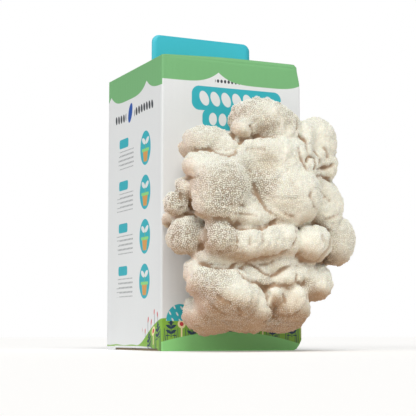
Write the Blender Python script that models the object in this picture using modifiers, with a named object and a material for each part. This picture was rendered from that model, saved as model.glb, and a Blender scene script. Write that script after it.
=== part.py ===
"""Lion's mane mushroom grow kit.

A tall square carton of printed board stands on the floor with its front panel towards -Y.
A plain card handle stands up through the seam of its top, a bagged block of growing medium
fills it, and a large lobed fungus has grown out through the window in the front panel.

Metres, +Z up. The origin is the centre of the carton's base, on the floor.
"""

import math

import bmesh
import bpy
from mathutils import Matrix, Vector

MM = 0.001
GAP = 0.3 * MM                  # clearance between neighbouring pieces

# Carton
CARTON_WIDTH = 133 * MM
CARTON_DEPTH = 130 * MM
CARTON_HEIGHT = 250 * MM
BOARD = 1.5 * MM                # thickness of the fluted board
CREASE_RADIUS = 1.2 * MM        # rounding where the board is folded
FRONT = -CARTON_DEPTH / 2       # outer face of the front panel

# Window in the front panel
WINDOW_WIDTH = 64 * MM
WINDOW_HEIGHT = 86 * MM
WINDOW_MIDDLE = 112 * MM        # height of its centre above the floor
WINDOW_CORNER = 9 * MM
WINDOW_DEPTH = 40 * MM          # length of the tool that cuts it

# Top seam, where the front and the rear flap meet
SEAM_WIDTH = 1.0 * MM
SEAM_DEPTH = 0.7 * MM

# The front flap's fold, which springs up towards the right. Each section has its place across
# the front and how far the fold rises there.
FOLD_SECTIONS = ((-63 * MM, 0.7 * MM), (10 * MM, 2.5 * MM), (63.5 * MM, 3.0 * MM))
FOLD_DEPTH = 14 * MM

# Slit under the left wall, where its bottom flap is folded in higher than the floor
FOOT_SLIT_FRONT = -57 * MM
FOOT_SLIT_REAR = 44 * MM
FOOT_SLIT_HEIGHT = 1.2 * MM
FOOT_SLIT_REACH = 4 * MM

# Card handle: a plain tongue above the top, and shoulders that hold it under the flaps
TAB_WIDTH = 98 * MM
TAB_HEIGHT = 33 * MM
TAB_CORNER = 7 * MM
TAB_THICKNESS = 1.2 * MM
TAB_SHOULDER_WIDTH = 122 * MM
TAB_MIDDLE = -0.4 * MM          # its centre line, left or right of the carton's
SLOT_CLEARANCE = 0.3 * MM

# Block of growing medium in its bag
BLOCK_WIDTH = 127 * MM
BLOCK_DEPTH = 124 * MM
BLOCK_HEIGHT = 205 * MM
BLOCK_CORNER = 5 * MM
BLOCK_TOP = BOARD + GAP + BLOCK_HEIGHT
BLOCK_FRONT = -BLOCK_DEPTH / 2

# Fungus. Its lobes face a little left of straight ahead.
FACING = math.radians(-25)
NECK_CLEARANCE = 0.6 * MM       # between the neck and the window's edge
SKIN_CELL = 3 * MM
SKIN_SHARE = 0.28               # share of the faces kept when the skin is made coarser

PLUMP = 2.15                    # 2 is an ellipsoid, and more is fuller between its axes

# Each lobe is a plump ellipsoid, in millimetres: centre across the panel, in front of the
# panel and above the floor, half sizes across, deep and tall, and its lean in degrees.
LOBES = {
    "core": (
        (7.5, 34, 147, 45, 50, 33.5, 0),
        (8, 33, 102, 50, 52, 35, 0),
        (8, 33, 61, 44.5, 50, 32.5, 0),
        (52, 24, 111, 23.5, 36, 53, 0),
        (6, 24, 37, 39.5, 42, 15, 0),
        (-36, 6, 91, 14, 16, 12, 0),
    ),
    "crown": (
        (-7, 66, 187.5, 27.5, 26, 16.5, 3),
        (6.5, 41, 190, 25.5, 22, 15.5, 10),
        (20, 16, 197, 26.5, 22, 16, 2),
        (10, 70, 182.5, 16, 18, 14.5, 8),
        (20.5, 50, 184.5, 15.5, 15, 14, 2),
        (30.5, 31, 189, 15, 15, 13.5, 9),
        (41, 11, 193, 14.5, 15, 13.5, 15),
        (-26.5, 74, 177, 11.5, 14, 9, 0),
        (-19, 58, 179, 10.5, 13, 8.5, -6),
        (-11, 42, 183, 10.5, 13, 8.5, 6),
        (-2.5, 26, 185, 10.5, 13, 8, 6),
        (6.5, 9, 188.5, 10.5, 13, 8.5, 3),
        (-9.5, 44, 176.5, 15, 40, 8.5, 0),
        (3.5, 69, 175, 25, 21, 11, 4),
        (14.5, 50, 177.5, 22, 17, 9.5, 11),
        (23, 31, 181.5, 24.5, 17, 11, -1),
        (32, 12, 185, 23, 17, 10, 6),
    ),
    "right_shoulder": (
        (48, 58, 173, 19, 24, 21.5, -6),
        (56.5, 36, 176, 16.5, 20, 18.5, -9),
        (44.5, 14, 179.5, 18.5, 20, 21, -6),
        (30, 68, 174.5, 13, 17, 16, -12),
        (36.5, 54, 175, 12, 14, 14.5, -20),
        (46, 39, 179.5, 12.5, 14, 15, -7),
        (53, 25, 182, 12, 14, 14.5, -19),
        (51, 10, 184.5, 12, 14, 14.5, -8),
        (41, 54, 168, 4.5, 42, 13, -16),
        (52.5, 50, 156.5, 9, 42, 6, 20),
        (54.5, 44, 159.5, 12, 42, 13.5, 0),
        (53, 64, 152.5, 12.5, 16, 15, 4),
        (61.5, 46, 155, 12, 13, 14.5, 2),
        (66, 28, 158.5, 11.5, 13, 14, 8),
        (51, 10, 161.5, 12, 13, 15, 11),
    ),
    "left_shoulder": (
        (-48, 52, 165.5, 23.5, 24, 16, 4),
        (-38.5, 33, 167.5, 20.5, 20, 14, 11),
        (-28, 14, 171, 21.5, 20, 14.5, 1),
        (-37.5, 68, 160, 15.5, 16, 11.5, 0),
        (-30.5, 54, 162.5, 14, 13, 10.5, -6),
        (-22, 39, 164.5, 14.5, 13, 11, -7),
        (-15.5, 24, 167, 15.5, 13, 11.5, -4),
        (-8, 9, 169, 15, 13, 11, -1),
    ),
    "brow": (
        (17, 51, 144.5, 25.5, 53, 19, 0),
        (8.5, 49, 162.5, 21.5, 54, 10.5, 0),
        (4.5, 44, 109, 16, 46, 7, 20),
        (-18.5, 44, 149.5, 20, 54, 14.5, 0),
        (11.5, 44, 157, 34, 60, 22, 0),
        (29.5, 48, 157.5, 21.5, 54, 20.5, 8),
        (-10.5, 48, 161.5, 14.5, 46, 12, 0),
        (-1.5, 40, 135, 29, 56, 25, 0),
        (33.5, 46, 144, 27, 56, 26.5, 0),
        (-65.5, 71, 146, 14.5, 15, 11.5, 0),
        (-57, 56, 148.5, 12.5, 13, 10, 0),
        (-51, 40, 150, 13.5, 13, 11, 7),
        (-43, 25, 153, 13.5, 13, 11, -1),
        (-36, 9, 155, 13, 13, 10.5, -1),
        (-37.5, 44, 152, 20, 46, 9.5, 0),
        (-34.5, 47, 132.5, 22.5, 52, 22.5, 0),
        (-49.5, 78, 128, 24, 29, 25, 0),
        (-42.5, 46, 119, 15.5, 48, 13, 0),
        (-60, 84, 114.5, 16.5, 18, 15, 0),
        (-28.5, 48, 114, 14, 46, 10.5, 0),
        (-47, 86, 110, 15, 16, 12, 0),
        (-12, 45, 110.5, 21.5, 46, 10.5, 14),
        (-29, 79, 107, 23, 20, 12, 14),
        (-9, 43, 116, 22, 46, 10.5, 32),
        (-25.5, 76, 112, 24, 21, 12, 32),
        (8, 80, 123.5, 30, 28, 26.5, 10),
        (20, 59, 124.5, 29, 22, 26, 9),
        (31, 37, 128.5, 28, 22, 25, 7),
        (34.5, 16, 131.5, 28.5, 22, 25.5, 18),
        (17.5, 50, 111.5, 21.5, 45, 11, 4),
        (0.5, 81, 108.5, 23.5, 21, 12.5, 4),
        (54.5, 62, 123, 15.5, 22, 20.5, -16),
        (60.5, 46, 124.5, 15, 18, 19.5, -19),
        (64.5, 29, 126, 13.5, 18, 18, -10),
        (48.5, 13, 128, 14.5, 18, 19, -13),
        (48.5, 69, 110, 16, 17, 12, 0),
        (55.5, 54, 111.5, 15, 14, 11, 3),
        (60.5, 40, 112.5, 14.5, 14, 11, 3),
        (64.5, 25, 114.5, 14.5, 14, 11, 1),
        (48.5, 10, 117, 14.5, 14, 11, 3),
    ),
    "left_nub_top": (
        (-69, 60, 128.5, 11, 14, 10, 0),
        (-62, 47, 130, 10, 13, 9, 5),
        (-57, 35, 131.5, 10, 13, 9, 5),
        (-51, 22, 133, 10, 13, 9, 3),
        (-45, 9, 135, 11, 13, 10, 0),
    ),
    "left_nubs": (
        (-76.5, 54, 116.5, 12.5, 14, 11, 0),
        (-68.5, 39, 117.5, 11, 13, 9.5, 0),
        (-62, 24, 119.5, 12, 13, 10, -5),
        (-52, 9, 121.5, 12, 13, 10.5, -1),
        (-66.5, 50, 116.5, 8.5, 14, 10.5, 0),
        (-59.5, 36, 118, 8, 13, 9.5, 4),
        (-54.5, 23, 119.5, 7.5, 13, 9, 2),
        (-48, 9, 121, 7.5, 13, 9.5, -7),
        (-67, 14, 107.5, 5, 20, 6, 0),
        (-67, 42, 107.5, 12, 14, 8, 0),
        (-59, 26, 109.5, 11, 13, 7, -6),
        (-52, 9, 111, 11, 13, 7, -7),
        (-54, 53, 106.5, 13.5, 14, 7.5, 0),
        (-47, 38, 108, 12, 13, 6.5, 1),
        (-39.5, 24, 110, 12, 13, 6.5, -2),
        (-33.5, 9, 111.5, 12.5, 13, 7, 5),
    ),
    "row_left_ball": (
        (-66, 53, 92, 17.5, 21, 17, 0),
        (-56.5, 33, 94, 15.5, 18, 15.5, -6),
        (-47, 13, 95.5, 16.5, 18, 16, 7),
    ),
    "row_sausage": (
        (-36, 48, 93, 14.5, 43, 13.5, 0),
        (-51, 80, 90.5, 15.5, 18, 15, 0),
        (-26, 44, 85, 14, 41, 11.5, 14),
        (-41.5, 76, 82.5, 15, 16, 12.5, 14),
        (-12.5, 49, 87.5, 17, 47, 13.5, 0),
        (-30, 84, 84.5, 18.5, 20, 15, 0),
        (4.5, 51, 89, 18, 47, 13, -6),
        (-14, 86, 86, 19, 20, 14.5, -6),
        (22, 52, 92, 12, 46, 12.5, -4),
        (2, 89, 89, 13, 16, 13.5, -4),
        (21.5, 51, 86, 13, 43, 8.5, 0),
        (2, 87, 83, 14, 14, 9.5, 0),
    ),
    "row_right_ball": (
        (44.5, 57, 88.5, 15.5, 43, 15, 0),
        (27, 87, 86, 17, 20, 16.5, 0),
    ),
    "row_right_outer": (
        (63.5, 60, 91.5, 18, 24, 22, -4),
        (67.5, 37, 93, 17, 20, 21, -2),
        (46, 15, 95.5, 17, 20, 20.5, -3),
        (50.5, 70, 102, 12, 14, 10, 0),
        (58, 55, 103.5, 11.5, 13, 9.5, -2),
        (63, 40, 105.5, 11.5, 13, 9.5, 1),
        (66.5, 25, 106.5, 11.5, 13, 9.5, 6),
        (51.5, 9, 108.5, 11.5, 13, 9.5, -3),
    ),
    "under_left": (
        (-47, 64, 73.5, 19.5, 19, 11.5, 4),
        (-38, 47, 74.5, 18.5, 16, 11, 11),
        (-30, 29, 75.5, 18, 16, 10.5, 4),
        (-21.5, 11, 77, 18, 16, 10.5, 4),
        (-19.5, 37, 75, 14, 43, 10, 0),
        (-36.5, 72, 73, 14.5, 15, 10.5, 0),
    ),
    "fold_upper": (
        (12, 44, 71.5, 23, 43, 11, -8),
        (-3, 72, 69.5, 25, 22, 12, -8),
        (-4, 44, 68, 14, 40, 10, 20),
        (-19.5, 75, 66, 15, 15, 11, 20),
        (21.5, 42, 66, 14.5, 46, 8, -10),
    ),
    "fold_lower": (
        (10.5, 45, 66, 20, 48, 8.5, 0),
        (-4, 44, 62, 15.5, 41, 10.5, 16),
        (-20, 76, 60, 16.5, 16, 11.5, 16),
        (22.5, 44, 59.5, 17.5, 45, 10, -10),
        (4, 79, 58, 19, 17, 11, -10),
        (9.5, 44, 57.5, 16.5, 48, 9, 0),
    ),
    "lower_right_ball": (
        (35, 77, 55, 15, 19, 15.5, 0),
        (43.5, 61, 57.5, 13, 16, 14, 2),
        (52, 44, 57, 13.5, 16, 14.5, 5),
        (57.5, 28, 58.5, 13.5, 16, 14, 7),
        (48, 11, 59.5, 15, 16, 15.5, -6),
        (38.5, 46, 67, 12.5, 40, 9.5, 0),
        (20.5, 78, 65, 13.5, 14, 10, 0),
        (47, 68, 60.5, 8.5, 14, 11, 0),
        (54.5, 53, 61.5, 8.5, 13, 10.5, 0),
        (61, 39, 62.5, 8, 13, 10.5, -6),
        (65, 24, 63.5, 8.5, 13, 11, -3),
        (55, 9, 64, 8, 13, 10.5, -2),
    ),
    "lower_right_mid": (
        (11.5, 75, 36, 18, 19, 13.5, 0),
        (22.5, 54, 38.5, 17, 16, 13, -4),
        (34.5, 33, 37.5, 16.5, 16, 12.5, 1),
        (45.5, 12, 39, 16, 16, 12.5, 1),
        (13.5, 50, 47, 8.5, 40, 8.5, 0),
        (-4.5, 84, 46, 9, 12, 9, 0),
        (32.5, 50, 45, 10, 40, 10.5, 0),
        (14.5, 83, 44, 11, 13, 11.5, 0),
    ),
    "lower_left": (
        (-62, 60, 63, 11.5, 14, 12, 0),
        (-53.5, 43, 64.5, 10.5, 13, 11, 7),
        (-46.5, 26, 64.5, 10.5, 13, 10.5, -5),
        (-38, 9, 67, 10.5, 13, 11, 5),
        (-52.5, 69, 53, 21.5, 23, 15.5, 10),
        (-43, 51, 55, 20, 19, 14, 14),
        (-35, 32, 55.5, 21, 19, 15, 11),
        (-25.5, 14, 57, 20.5, 19, 14.5, 11),
        (-23.5, 40, 47, 25.5, 53, 19.5, 20),
        (-39.5, 73, 46, 27.5, 29, 21, 20),
        (-3, 42, 36, 15.5, 46, 14.5, 10),
        (-20.5, 77, 35, 16.5, 19, 15.5, 10),
        (-49, 71, 38, 17, 19, 13.5, 0),
        (-39.5, 51, 40, 16, 16, 13, 5),
        (-29, 31, 41, 16.5, 16, 13, 4),
        (-19, 12, 40.5, 17, 16, 14, -7),
        (-38, 51, 34, 12.5, 42, 8.5, 10),
        (-25, 49, 30, 13, 42, 8.5, 0),
        (-9.5, 50, 30.5, 14, 44, 8, 0),
    ),
    "base": (
        (-47.5, 54, 29, 23, 24, 16.5, 0),
        (-37.5, 34, 30.5, 21.5, 20, 15.5, 7),
        (-29, 15, 31.5, 22, 20, 15.5, 7),
        (-57.5, 46, 33.5, 10, 14, 10.5, 0),
        (-51, 34, 34.5, 9, 13, 9, -5),
        (-46.5, 22, 35.5, 9.5, 13, 9.5, -2),
        (-41, 9, 35, 9, 13, 9, 4),
        (-22.5, 63, 24.5, 23.5, 21, 10, 0),
        (-14.5, 46, 25.5, 22, 17, 9.5, -3),
        (-5, 29, 25, 22, 17, 9, -2),
        (4, 12, 26.5, 21, 17, 9, 2),
        (19.5, 64, 29, 19.5, 20, 12.5, -30),
        (29.5, 47, 30.5, 18, 16, 11, -28),
        (38, 29, 31, 18, 16, 11, -26),
        (44.5, 12, 31.5, 18.5, 16, 11.5, -32),
        (5, 65, 24.5, 18.5, 17, 9.5, 0),
        (14, 47, 25.5, 17, 14, 9, 2),
        (24.5, 28, 26.5, 16, 14, 8.5, -6),
        (33, 10, 25.5, 17.5, 14, 9, 0),
    ),
}


def clear_scene():
    """Remove every object that is in the scene already."""
    for old in list(bpy.data.objects):
        bpy.data.objects.remove(old, do_unlink=True)


def new_collection(name):
    """A collection under the scene's own."""
    collection = bpy.data.collections.new(name)
    bpy.context.scene.collection.children.link(collection)
    return collection


def new_material(name, colour, roughness):
    """A Principled material of one colour, given as linear red, green and blue."""
    material = bpy.data.materials.new(name)
    material.use_nodes = True
    shader = material.node_tree.nodes["Principled BSDF"]
    shader.inputs["Base Color"].default_value = (*colour, 1.0)
    shader.inputs["Roughness"].default_value = roughness
    shader.inputs["Metallic"].default_value = 0.0
    material.diffuse_color = (*colour, 1.0)
    return material


def new_object(name, bm, collection, material=None):
    """An object that takes the mesh worked out in bm."""
    mesh = bpy.data.meshes.new(name)
    bm.to_mesh(mesh)
    bm.free()
    if material:
        mesh.materials.append(material)
    thing = bpy.data.objects.new(name, mesh)
    collection.objects.link(thing)
    return thing


def box(name, low, high, collection, material=None):
    """A plain box between two opposite corners."""
    low, high = Vector(low), Vector(high)
    size = high - low
    place = Matrix.Translation((low + high) / 2) @ Matrix.Diagonal((*size, 1.0))
    bm = bmesh.new()
    bmesh.ops.create_cube(bm, size=1.0, matrix=place)
    return new_object(name, bm, collection, material)


def cutter(name, low, high, collection):
    """A box that only cuts others: a wire frame, left out of renders."""
    tool = box(name, low, high, collection)
    tool.display_type = "WIRE"
    tool.hide_render = True
    return tool


def round_edges(thing, radius, segments):
    """Round every edge of a box."""
    bevel = thing.modifiers.new("rounded edges", "BEVEL")
    bevel.width = radius
    bevel.segments = segments
    bevel.limit_method = "NONE"


def cut(thing, tool):
    """Take the tool's shape out of a piece."""
    boolean = thing.modifiers.new("cut " + tool.name, "BOOLEAN")
    boolean.operation = "DIFFERENCE"
    boolean.solver = "EXACT"
    boolean.object = tool


def make_window_tool(name, clearance, cutters):
    """A rounded block through the front panel, smaller than the window by a clearance."""
    half_width = WINDOW_WIDTH / 2 - clearance
    half_height = WINDOW_HEIGHT / 2 - clearance
    low = (-half_width, FRONT - WINDOW_DEPTH / 2, WINDOW_MIDDLE - half_height)
    high = (half_width, FRONT + WINDOW_DEPTH / 2, WINDOW_MIDDLE + half_height)
    tool = cutter(name, low, high, cutters)
    round_edges(tool, WINDOW_CORNER, 4)
    return tool


def make_carton(parts, cutters, material):
    """The folded carton: a hollow box with a window, a top seam and a slot for the handle."""
    half_x, half_y = CARTON_WIDTH / 2, CARTON_DEPTH / 2
    top = CARTON_HEIGHT
    carton = box("carton", (-half_x, -half_y, 0), (half_x, half_y, top), parts, material)
    round_edges(carton, CREASE_RADIUS, 2)

    inner_x, inner_y = half_x - BOARD, half_y - BOARD
    hollow = cutter("hollow", (-inner_x, -inner_y, BOARD), (inner_x, inner_y, top - BOARD), cutters)
    cut(carton, hollow)
    cut(carton, make_window_tool("window", 0.0, cutters))

    slot_x = TAB_WIDTH / 2 + SLOT_CLEARANCE
    slot_y = TAB_THICKNESS / 2 + SLOT_CLEARANCE
    slot = cutter(
        "handle_slot",
        (TAB_MIDDLE - slot_x, -slot_y, top - 3 * BOARD),
        (TAB_MIDDLE + slot_x, slot_y, top + BOARD),
        cutters,
    )
    cut(carton, slot)

    seam_bottom = top - SEAM_DEPTH
    seam = cutter(
        "flap_seam",
        (-half_x - BOARD, -SEAM_WIDTH / 2, seam_bottom),
        (half_x + BOARD, SEAM_WIDTH / 2, top + BOARD),
        cutters,
    )
    cut(carton, seam)

    for side, name in ((-1, "left_flap_edge"), (1, "right_flap_edge")):
        outer = side * (half_x - BOARD)
        inner = side * (half_x - BOARD - SEAM_DEPTH)
        edge = cutter(
            name,
            (min(outer, inner), -half_y + 2 * BOARD, seam_bottom),
            (max(outer, inner), half_y - 2 * BOARD, top + BOARD),
            cutters,
        )
        cut(carton, edge)

    slit = cutter(
        "foot_slit",
        (-half_x - BOARD, FOOT_SLIT_FRONT, -BOARD),
        (-half_x + FOOT_SLIT_REACH, FOOT_SLIT_REAR, FOOT_SLIT_HEIGHT),
        cutters,
    )
    cut(carton, slit)

    rise = carton.modifiers.new("raised fold", "BOOLEAN")
    rise.operation = "UNION"
    rise.solver = "EXACT"
    rise.object = make_fold(cutters)
    return carton


def make_fold(cutters):
    """The raised fold along the top of the front, as a long wedge through its sections."""
    bm = bmesh.new()
    rings = []
    for x, rise in FOLD_SECTIONS:
        outline = (
            (FRONT + 0.4 * MM, -BOARD / 2),
            (FRONT + 0.4 * MM, 0.55 * rise),
            (FRONT + 1.6 * MM, rise),
            (FRONT + 4.0 * MM, rise),
            (FRONT + FOLD_DEPTH, -BOARD / 2),
        )
        rings.append([bm.verts.new((x, y, CARTON_HEIGHT + z)) for y, z in outline])
    for ring, after in zip(rings, rings[1:]):
        for i in range(len(ring)):
            j = (i + 1) % len(ring)
            bm.faces.new((ring[i], ring[j], after[j], after[i]))
    bm.faces.new(rings[0])
    bm.faces.new(reversed(rings[-1]))
    bmesh.ops.recalc_face_normals(bm, faces=bm.faces)
    fold = new_object("front_fold", bm, cutters)
    fold.display_type = "WIRE"
    fold.hide_render = True
    return fold


def arc(centre_x, centre_z, radius, start, end, steps):
    """Points along a circular arc, with its angles in degrees."""
    points = []
    for step in range(steps + 1):
        angle = math.radians(start + (end - start) * step / steps)
        points.append((centre_x + radius * math.cos(angle), centre_z + radius * math.sin(angle)))
    return points


def make_handle(parts, material):
    """The card handle, an outline with round upper corners that stands at mid depth."""
    half = TAB_WIDTH / 2
    shoulder = TAB_SHOULDER_WIDTH / 2
    top = CARTON_HEIGHT + TAB_HEIGHT
    under_flaps = CARTON_HEIGHT - BOARD - GAP
    foot = BLOCK_TOP + GAP
    outline = [(-shoulder, foot), (shoulder, foot), (shoulder, under_flaps), (half, under_flaps)]
    outline += arc(half - TAB_CORNER, top - TAB_CORNER, TAB_CORNER, 0, 90, 8)
    outline += arc(-half + TAB_CORNER, top - TAB_CORNER, TAB_CORNER, 90, 180, 8)
    outline += [(-half, under_flaps), (-shoulder, under_flaps)]

    curve = bpy.data.curves.new("handle_outline", "CURVE")
    curve.dimensions = "2D"
    curve.fill_mode = "BOTH"
    curve.extrude = TAB_THICKNESS / 2
    spline = curve.splines.new("POLY")
    spline.points.add(len(outline) - 1)
    for point, (x, z) in zip(spline.points, outline):
        point.co = (x, z, 0.0, 1.0)
    spline.use_cyclic_u = True
    flat = bpy.data.objects.new("handle_outline", curve)
    parts.objects.link(flat)
    flat.location = (TAB_MIDDLE, 0.0, 0.0)
    flat.rotation_euler = (math.radians(90), 0.0, 0.0)
    bpy.context.view_layer.update()

    evaluated = flat.evaluated_get(bpy.context.evaluated_depsgraph_get())
    bm = bmesh.new()
    bm.from_mesh(bpy.data.meshes.new_from_object(evaluated))
    bmesh.ops.remove_doubles(bm, verts=bm.verts, dist=0.01 * MM)
    bmesh.ops.recalc_face_normals(bm, faces=bm.faces)
    handle = new_object("handle_tab", bm, parts, material)
    handle.matrix_world = flat.matrix_world.copy()
    bpy.data.objects.remove(flat, do_unlink=True)
    return handle


def make_block(parts, material):
    """The bagged block of growing medium, standing on the carton's bottom."""
    bottom = BOARD + GAP
    block = box(
        "substrate_block",
        (-BLOCK_WIDTH / 2, BLOCK_FRONT, bottom),
        (BLOCK_WIDTH / 2, -BLOCK_FRONT, bottom + BLOCK_HEIGHT),
        parts,
        material,
    )
    round_edges(block, BLOCK_CORNER, 2)
    return block


def add_lobe(bm, lobe):
    """One lobe of the fungus, in the place and lean that its row gives."""
    across, ahead, up, half_across, half_deep, half_tall, lean = lobe
    centre = Vector((across * MM, FRONT - ahead * MM, up * MM))
    turn = Matrix.Rotation(FACING, 4, "Z") @ Matrix.Rotation(math.radians(lean), 4, "Y")
    size = Matrix.Diagonal((half_across * MM, half_deep * MM, half_tall * MM, 1.0))
    place = Matrix.Translation(centre) @ turn @ size
    ball = bmesh.ops.create_uvsphere(bm, u_segments=20, v_segments=12, radius=1.0)
    for vertex in ball["verts"]:
        fullness = sum(abs(value) ** PLUMP for value in vertex.co) ** (1 / PLUMP)
        vertex.co = place @ (vertex.co / fullness)


def make_fungus(parts, cutters, material):
    """The fungus: all lobes grown together, flat against the panel, with a neck to the block."""
    bm = bmesh.new()
    for cluster in LOBES.values():
        for lobe in cluster:
            add_lobe(bm, lobe)
    fungus = new_object("fruiting_body", bm, parts, material)

    skin = fungus.modifiers.new("grown together", "REMESH")
    skin.mode = "VOXEL"
    skin.voxel_size = SKIN_CELL
    skin.use_smooth_shade = True
    soften = fungus.modifiers.new("soft creases", "SMOOTH")
    soften.factor = 0.5
    soften.iterations = 1
    coarser = fungus.modifiers.new("coarser skin", "DECIMATE")
    coarser.ratio = SKIN_SHARE

    reach = CARTON_HEIGHT
    panel = cutter(
        "panel_clearance",
        (-reach, FRONT - GAP, -reach),
        (reach, FRONT + reach, 2 * reach),
        cutters,
    )
    cut(panel, make_window_tool("neck", NECK_CLEARANCE, cutters))
    cut(fungus, panel)
    block_face = cutter(
        "block_clearance",
        (-reach, BLOCK_FRONT - GAP, -reach),
        (reach, BLOCK_FRONT + reach, 2 * reach),
        cutters,
    )
    cut(fungus, block_face)
    return fungus


def main():
    clear_scene()
    parts = new_collection("lions_mane_grow_kit")
    cutters = new_collection("cutters")
    make_carton(parts, cutters, new_material("printed_board", (0.74, 0.78, 0.74), 0.55))
    make_handle(parts, new_material("blue_card", (0.067, 0.509, 0.578), 0.5))
    make_block(parts, new_material("growing_medium", (0.46, 0.34, 0.22), 0.9))
    make_fungus(parts, cutters, new_material("fungus_flesh", (0.76, 0.68, 0.56), 0.8))


main()
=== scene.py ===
import math

import bpy
import numpy as np
from mathutils import Matrix, Vector


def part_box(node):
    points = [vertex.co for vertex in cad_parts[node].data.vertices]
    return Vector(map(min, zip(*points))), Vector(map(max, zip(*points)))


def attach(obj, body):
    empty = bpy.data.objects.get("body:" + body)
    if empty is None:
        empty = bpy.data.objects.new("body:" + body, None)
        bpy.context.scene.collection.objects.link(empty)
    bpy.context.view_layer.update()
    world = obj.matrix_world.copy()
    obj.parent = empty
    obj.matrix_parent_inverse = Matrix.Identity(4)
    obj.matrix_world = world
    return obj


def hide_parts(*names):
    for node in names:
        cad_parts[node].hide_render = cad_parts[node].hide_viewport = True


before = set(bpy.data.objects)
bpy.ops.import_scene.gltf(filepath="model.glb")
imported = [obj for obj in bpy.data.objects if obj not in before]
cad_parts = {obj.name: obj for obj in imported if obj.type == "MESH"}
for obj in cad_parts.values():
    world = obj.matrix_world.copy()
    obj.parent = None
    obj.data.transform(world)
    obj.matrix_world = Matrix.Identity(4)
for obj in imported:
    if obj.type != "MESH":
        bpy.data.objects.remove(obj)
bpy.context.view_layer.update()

MM = 0.001

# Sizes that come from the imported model, in metres
CARTON_LOW, CARTON_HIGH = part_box("carton")
TAB_LOW, TAB_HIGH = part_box("handle_tab")
BLOCK_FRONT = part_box("substrate_block")[0][1]
HALF_WIDTH = CARTON_HIGH[0]
HALF_DEPTH = CARTON_HIGH[1]
FOLD_RISE = 3.0 * MM            # how far the fold of the front flap stands above the top
HEIGHT = CARTON_HIGH[2] - FOLD_RISE
FRONT = CARTON_LOW[1]

# ------------------------------------------------------------------ camera and light

IMAGE_SIZE = 416                # pixels along each side of the photograph
FOCAL_PIXELS = 1222.0
CAMERA_PLACE = Vector((-0.4575, -1.002, 0.0142))
CAMERA_YAW = math.radians(24.84)
CAMERA_PITCH = math.radians(5.883)

SURROUNDINGS = 0.26             # brightness that the white surroundings add on every side
SURROUNDINGS_COLOUR = (1.0, 0.99, 0.97, 1.0)
WHITE_PAPER = (1.0, 1.0, 1.0, 1.0)
FLOOR_SIZE = 8.0
FLOOR_COLOUR = (0.93, 0.93, 0.93, 1.0)
FLOOR_GLOW = 0.2
LIGHT_SPREAD = math.radians(34)

# Each light: its name, where it comes from, its strength and its colour
LIGHTS = (
    ("key", (-0.20, -0.58, 0.79), 0.665, (1.0, 0.99, 0.97)),
    ("left", (-0.80, -0.44, 0.40), 0.24, (1.0, 0.99, 0.98)),
)


def make_camera():
    """The photograph's viewpoint: low, left of the front panel, looking a little upwards."""
    data = bpy.data.cameras.new("camera")
    data.sensor_width = 36.0
    data.lens = FOCAL_PIXELS * data.sensor_width / IMAGE_SIZE
    camera = bpy.data.objects.new("camera", data)
    bpy.context.scene.collection.objects.link(camera)
    camera.location = CAMERA_PLACE
    turn = Matrix.Rotation(-CAMERA_YAW, 3, "Z") @ Matrix.Rotation(math.pi / 2 + CAMERA_PITCH, 3, "X")
    camera.rotation_euler = turn.to_euler()
    bpy.context.scene.camera = camera


def make_light(name, place, strength, colour):
    """A wide, soft, even light from one side. On a white surface that faces it, it adds that
    strength to the brightness."""
    data = bpy.data.lights.new(name, "SUN")
    data.angle = LIGHT_SPREAD
    data.energy = strength * math.pi
    data.color = colour
    light = bpy.data.objects.new(name, data)
    bpy.context.scene.collection.objects.link(light)
    light.rotation_euler = (-Vector(place)).to_track_quat("-Z", "Y").to_euler()


def make_studio():
    """White surroundings, a pale floor and two soft lights."""
    scene = bpy.context.scene
    scene.view_settings.view_transform = "Standard"
    world = bpy.data.worlds.new("white_studio")
    scene.world = world
    world.use_nodes = True
    nodes, links = world.node_tree.nodes, world.node_tree.links
    nodes.clear()
    seen = nodes.new("ShaderNodeBackground")
    seen.inputs["Color"].default_value = WHITE_PAPER
    fill = nodes.new("ShaderNodeBackground")
    fill.inputs["Color"].default_value = SURROUNDINGS_COLOUR
    fill.inputs["Strength"].default_value = SURROUNDINGS
    path = nodes.new("ShaderNodeLightPath")
    mix = nodes.new("ShaderNodeMixShader")
    output = nodes.new("ShaderNodeOutputWorld")
    links.new(path.outputs["Is Camera Ray"], mix.inputs[0])
    links.new(fill.outputs[0], mix.inputs[1])
    links.new(seen.outputs[0], mix.inputs[2])
    links.new(mix.outputs[0], output.inputs["Surface"])

    for light in LIGHTS:
        make_light(*light)

    bpy.ops.mesh.primitive_plane_add(size=FLOOR_SIZE)
    floor = bpy.context.object
    floor.name = "studio_floor"
    material = bpy.data.materials.new("studio_floor")
    material.use_nodes = True
    shader = material.node_tree.nodes["Principled BSDF"]
    shader.inputs["Base Color"].default_value = FLOOR_COLOUR
    shader.inputs["Roughness"].default_value = 0.9
    shader.inputs["Emission Color"].default_value = WHITE_PAPER
    shader.inputs["Emission Strength"].default_value = FLOOR_GLOW
    floor.data.materials.append(material)


# ------------------------------------------------------------------ numbers and meshes

def lattice_key(corner, seed):
    """A whole number for each corner of a cubic lattice, which differs from seed to seed."""
    return corner @ np.array([73856093, 19349663, 83492791]) + seed * 40503


def scramble(key):
    """Mix a whole number's digits, so that neighbours come out far apart."""
    return (key ^ (key >> 13)) * 1274126177


def smooth_noise(points, cell, seed):
    """Noise from -1 to 1: random values on a cubic lattice, blended by 3t^2 - 2t^3."""
    grid = points / cell
    corner = np.floor(grid).astype(np.int64)
    part = grid - corner
    part = part * part * (3.0 - 2.0 * part)
    total = np.zeros(len(points))
    for number in range(8):
        step = np.array([number & 1, number >> 1 & 1, number >> 2 & 1])
        key = scramble(lattice_key(corner + step, seed))
        value = ((key ^ (key >> 16)) & 0xFFFFFF) / float(0x7FFFFF) - 1.0
        total += np.prod(np.where(step == 1, part, 1.0 - part), axis=1) * value
    return total


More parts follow.
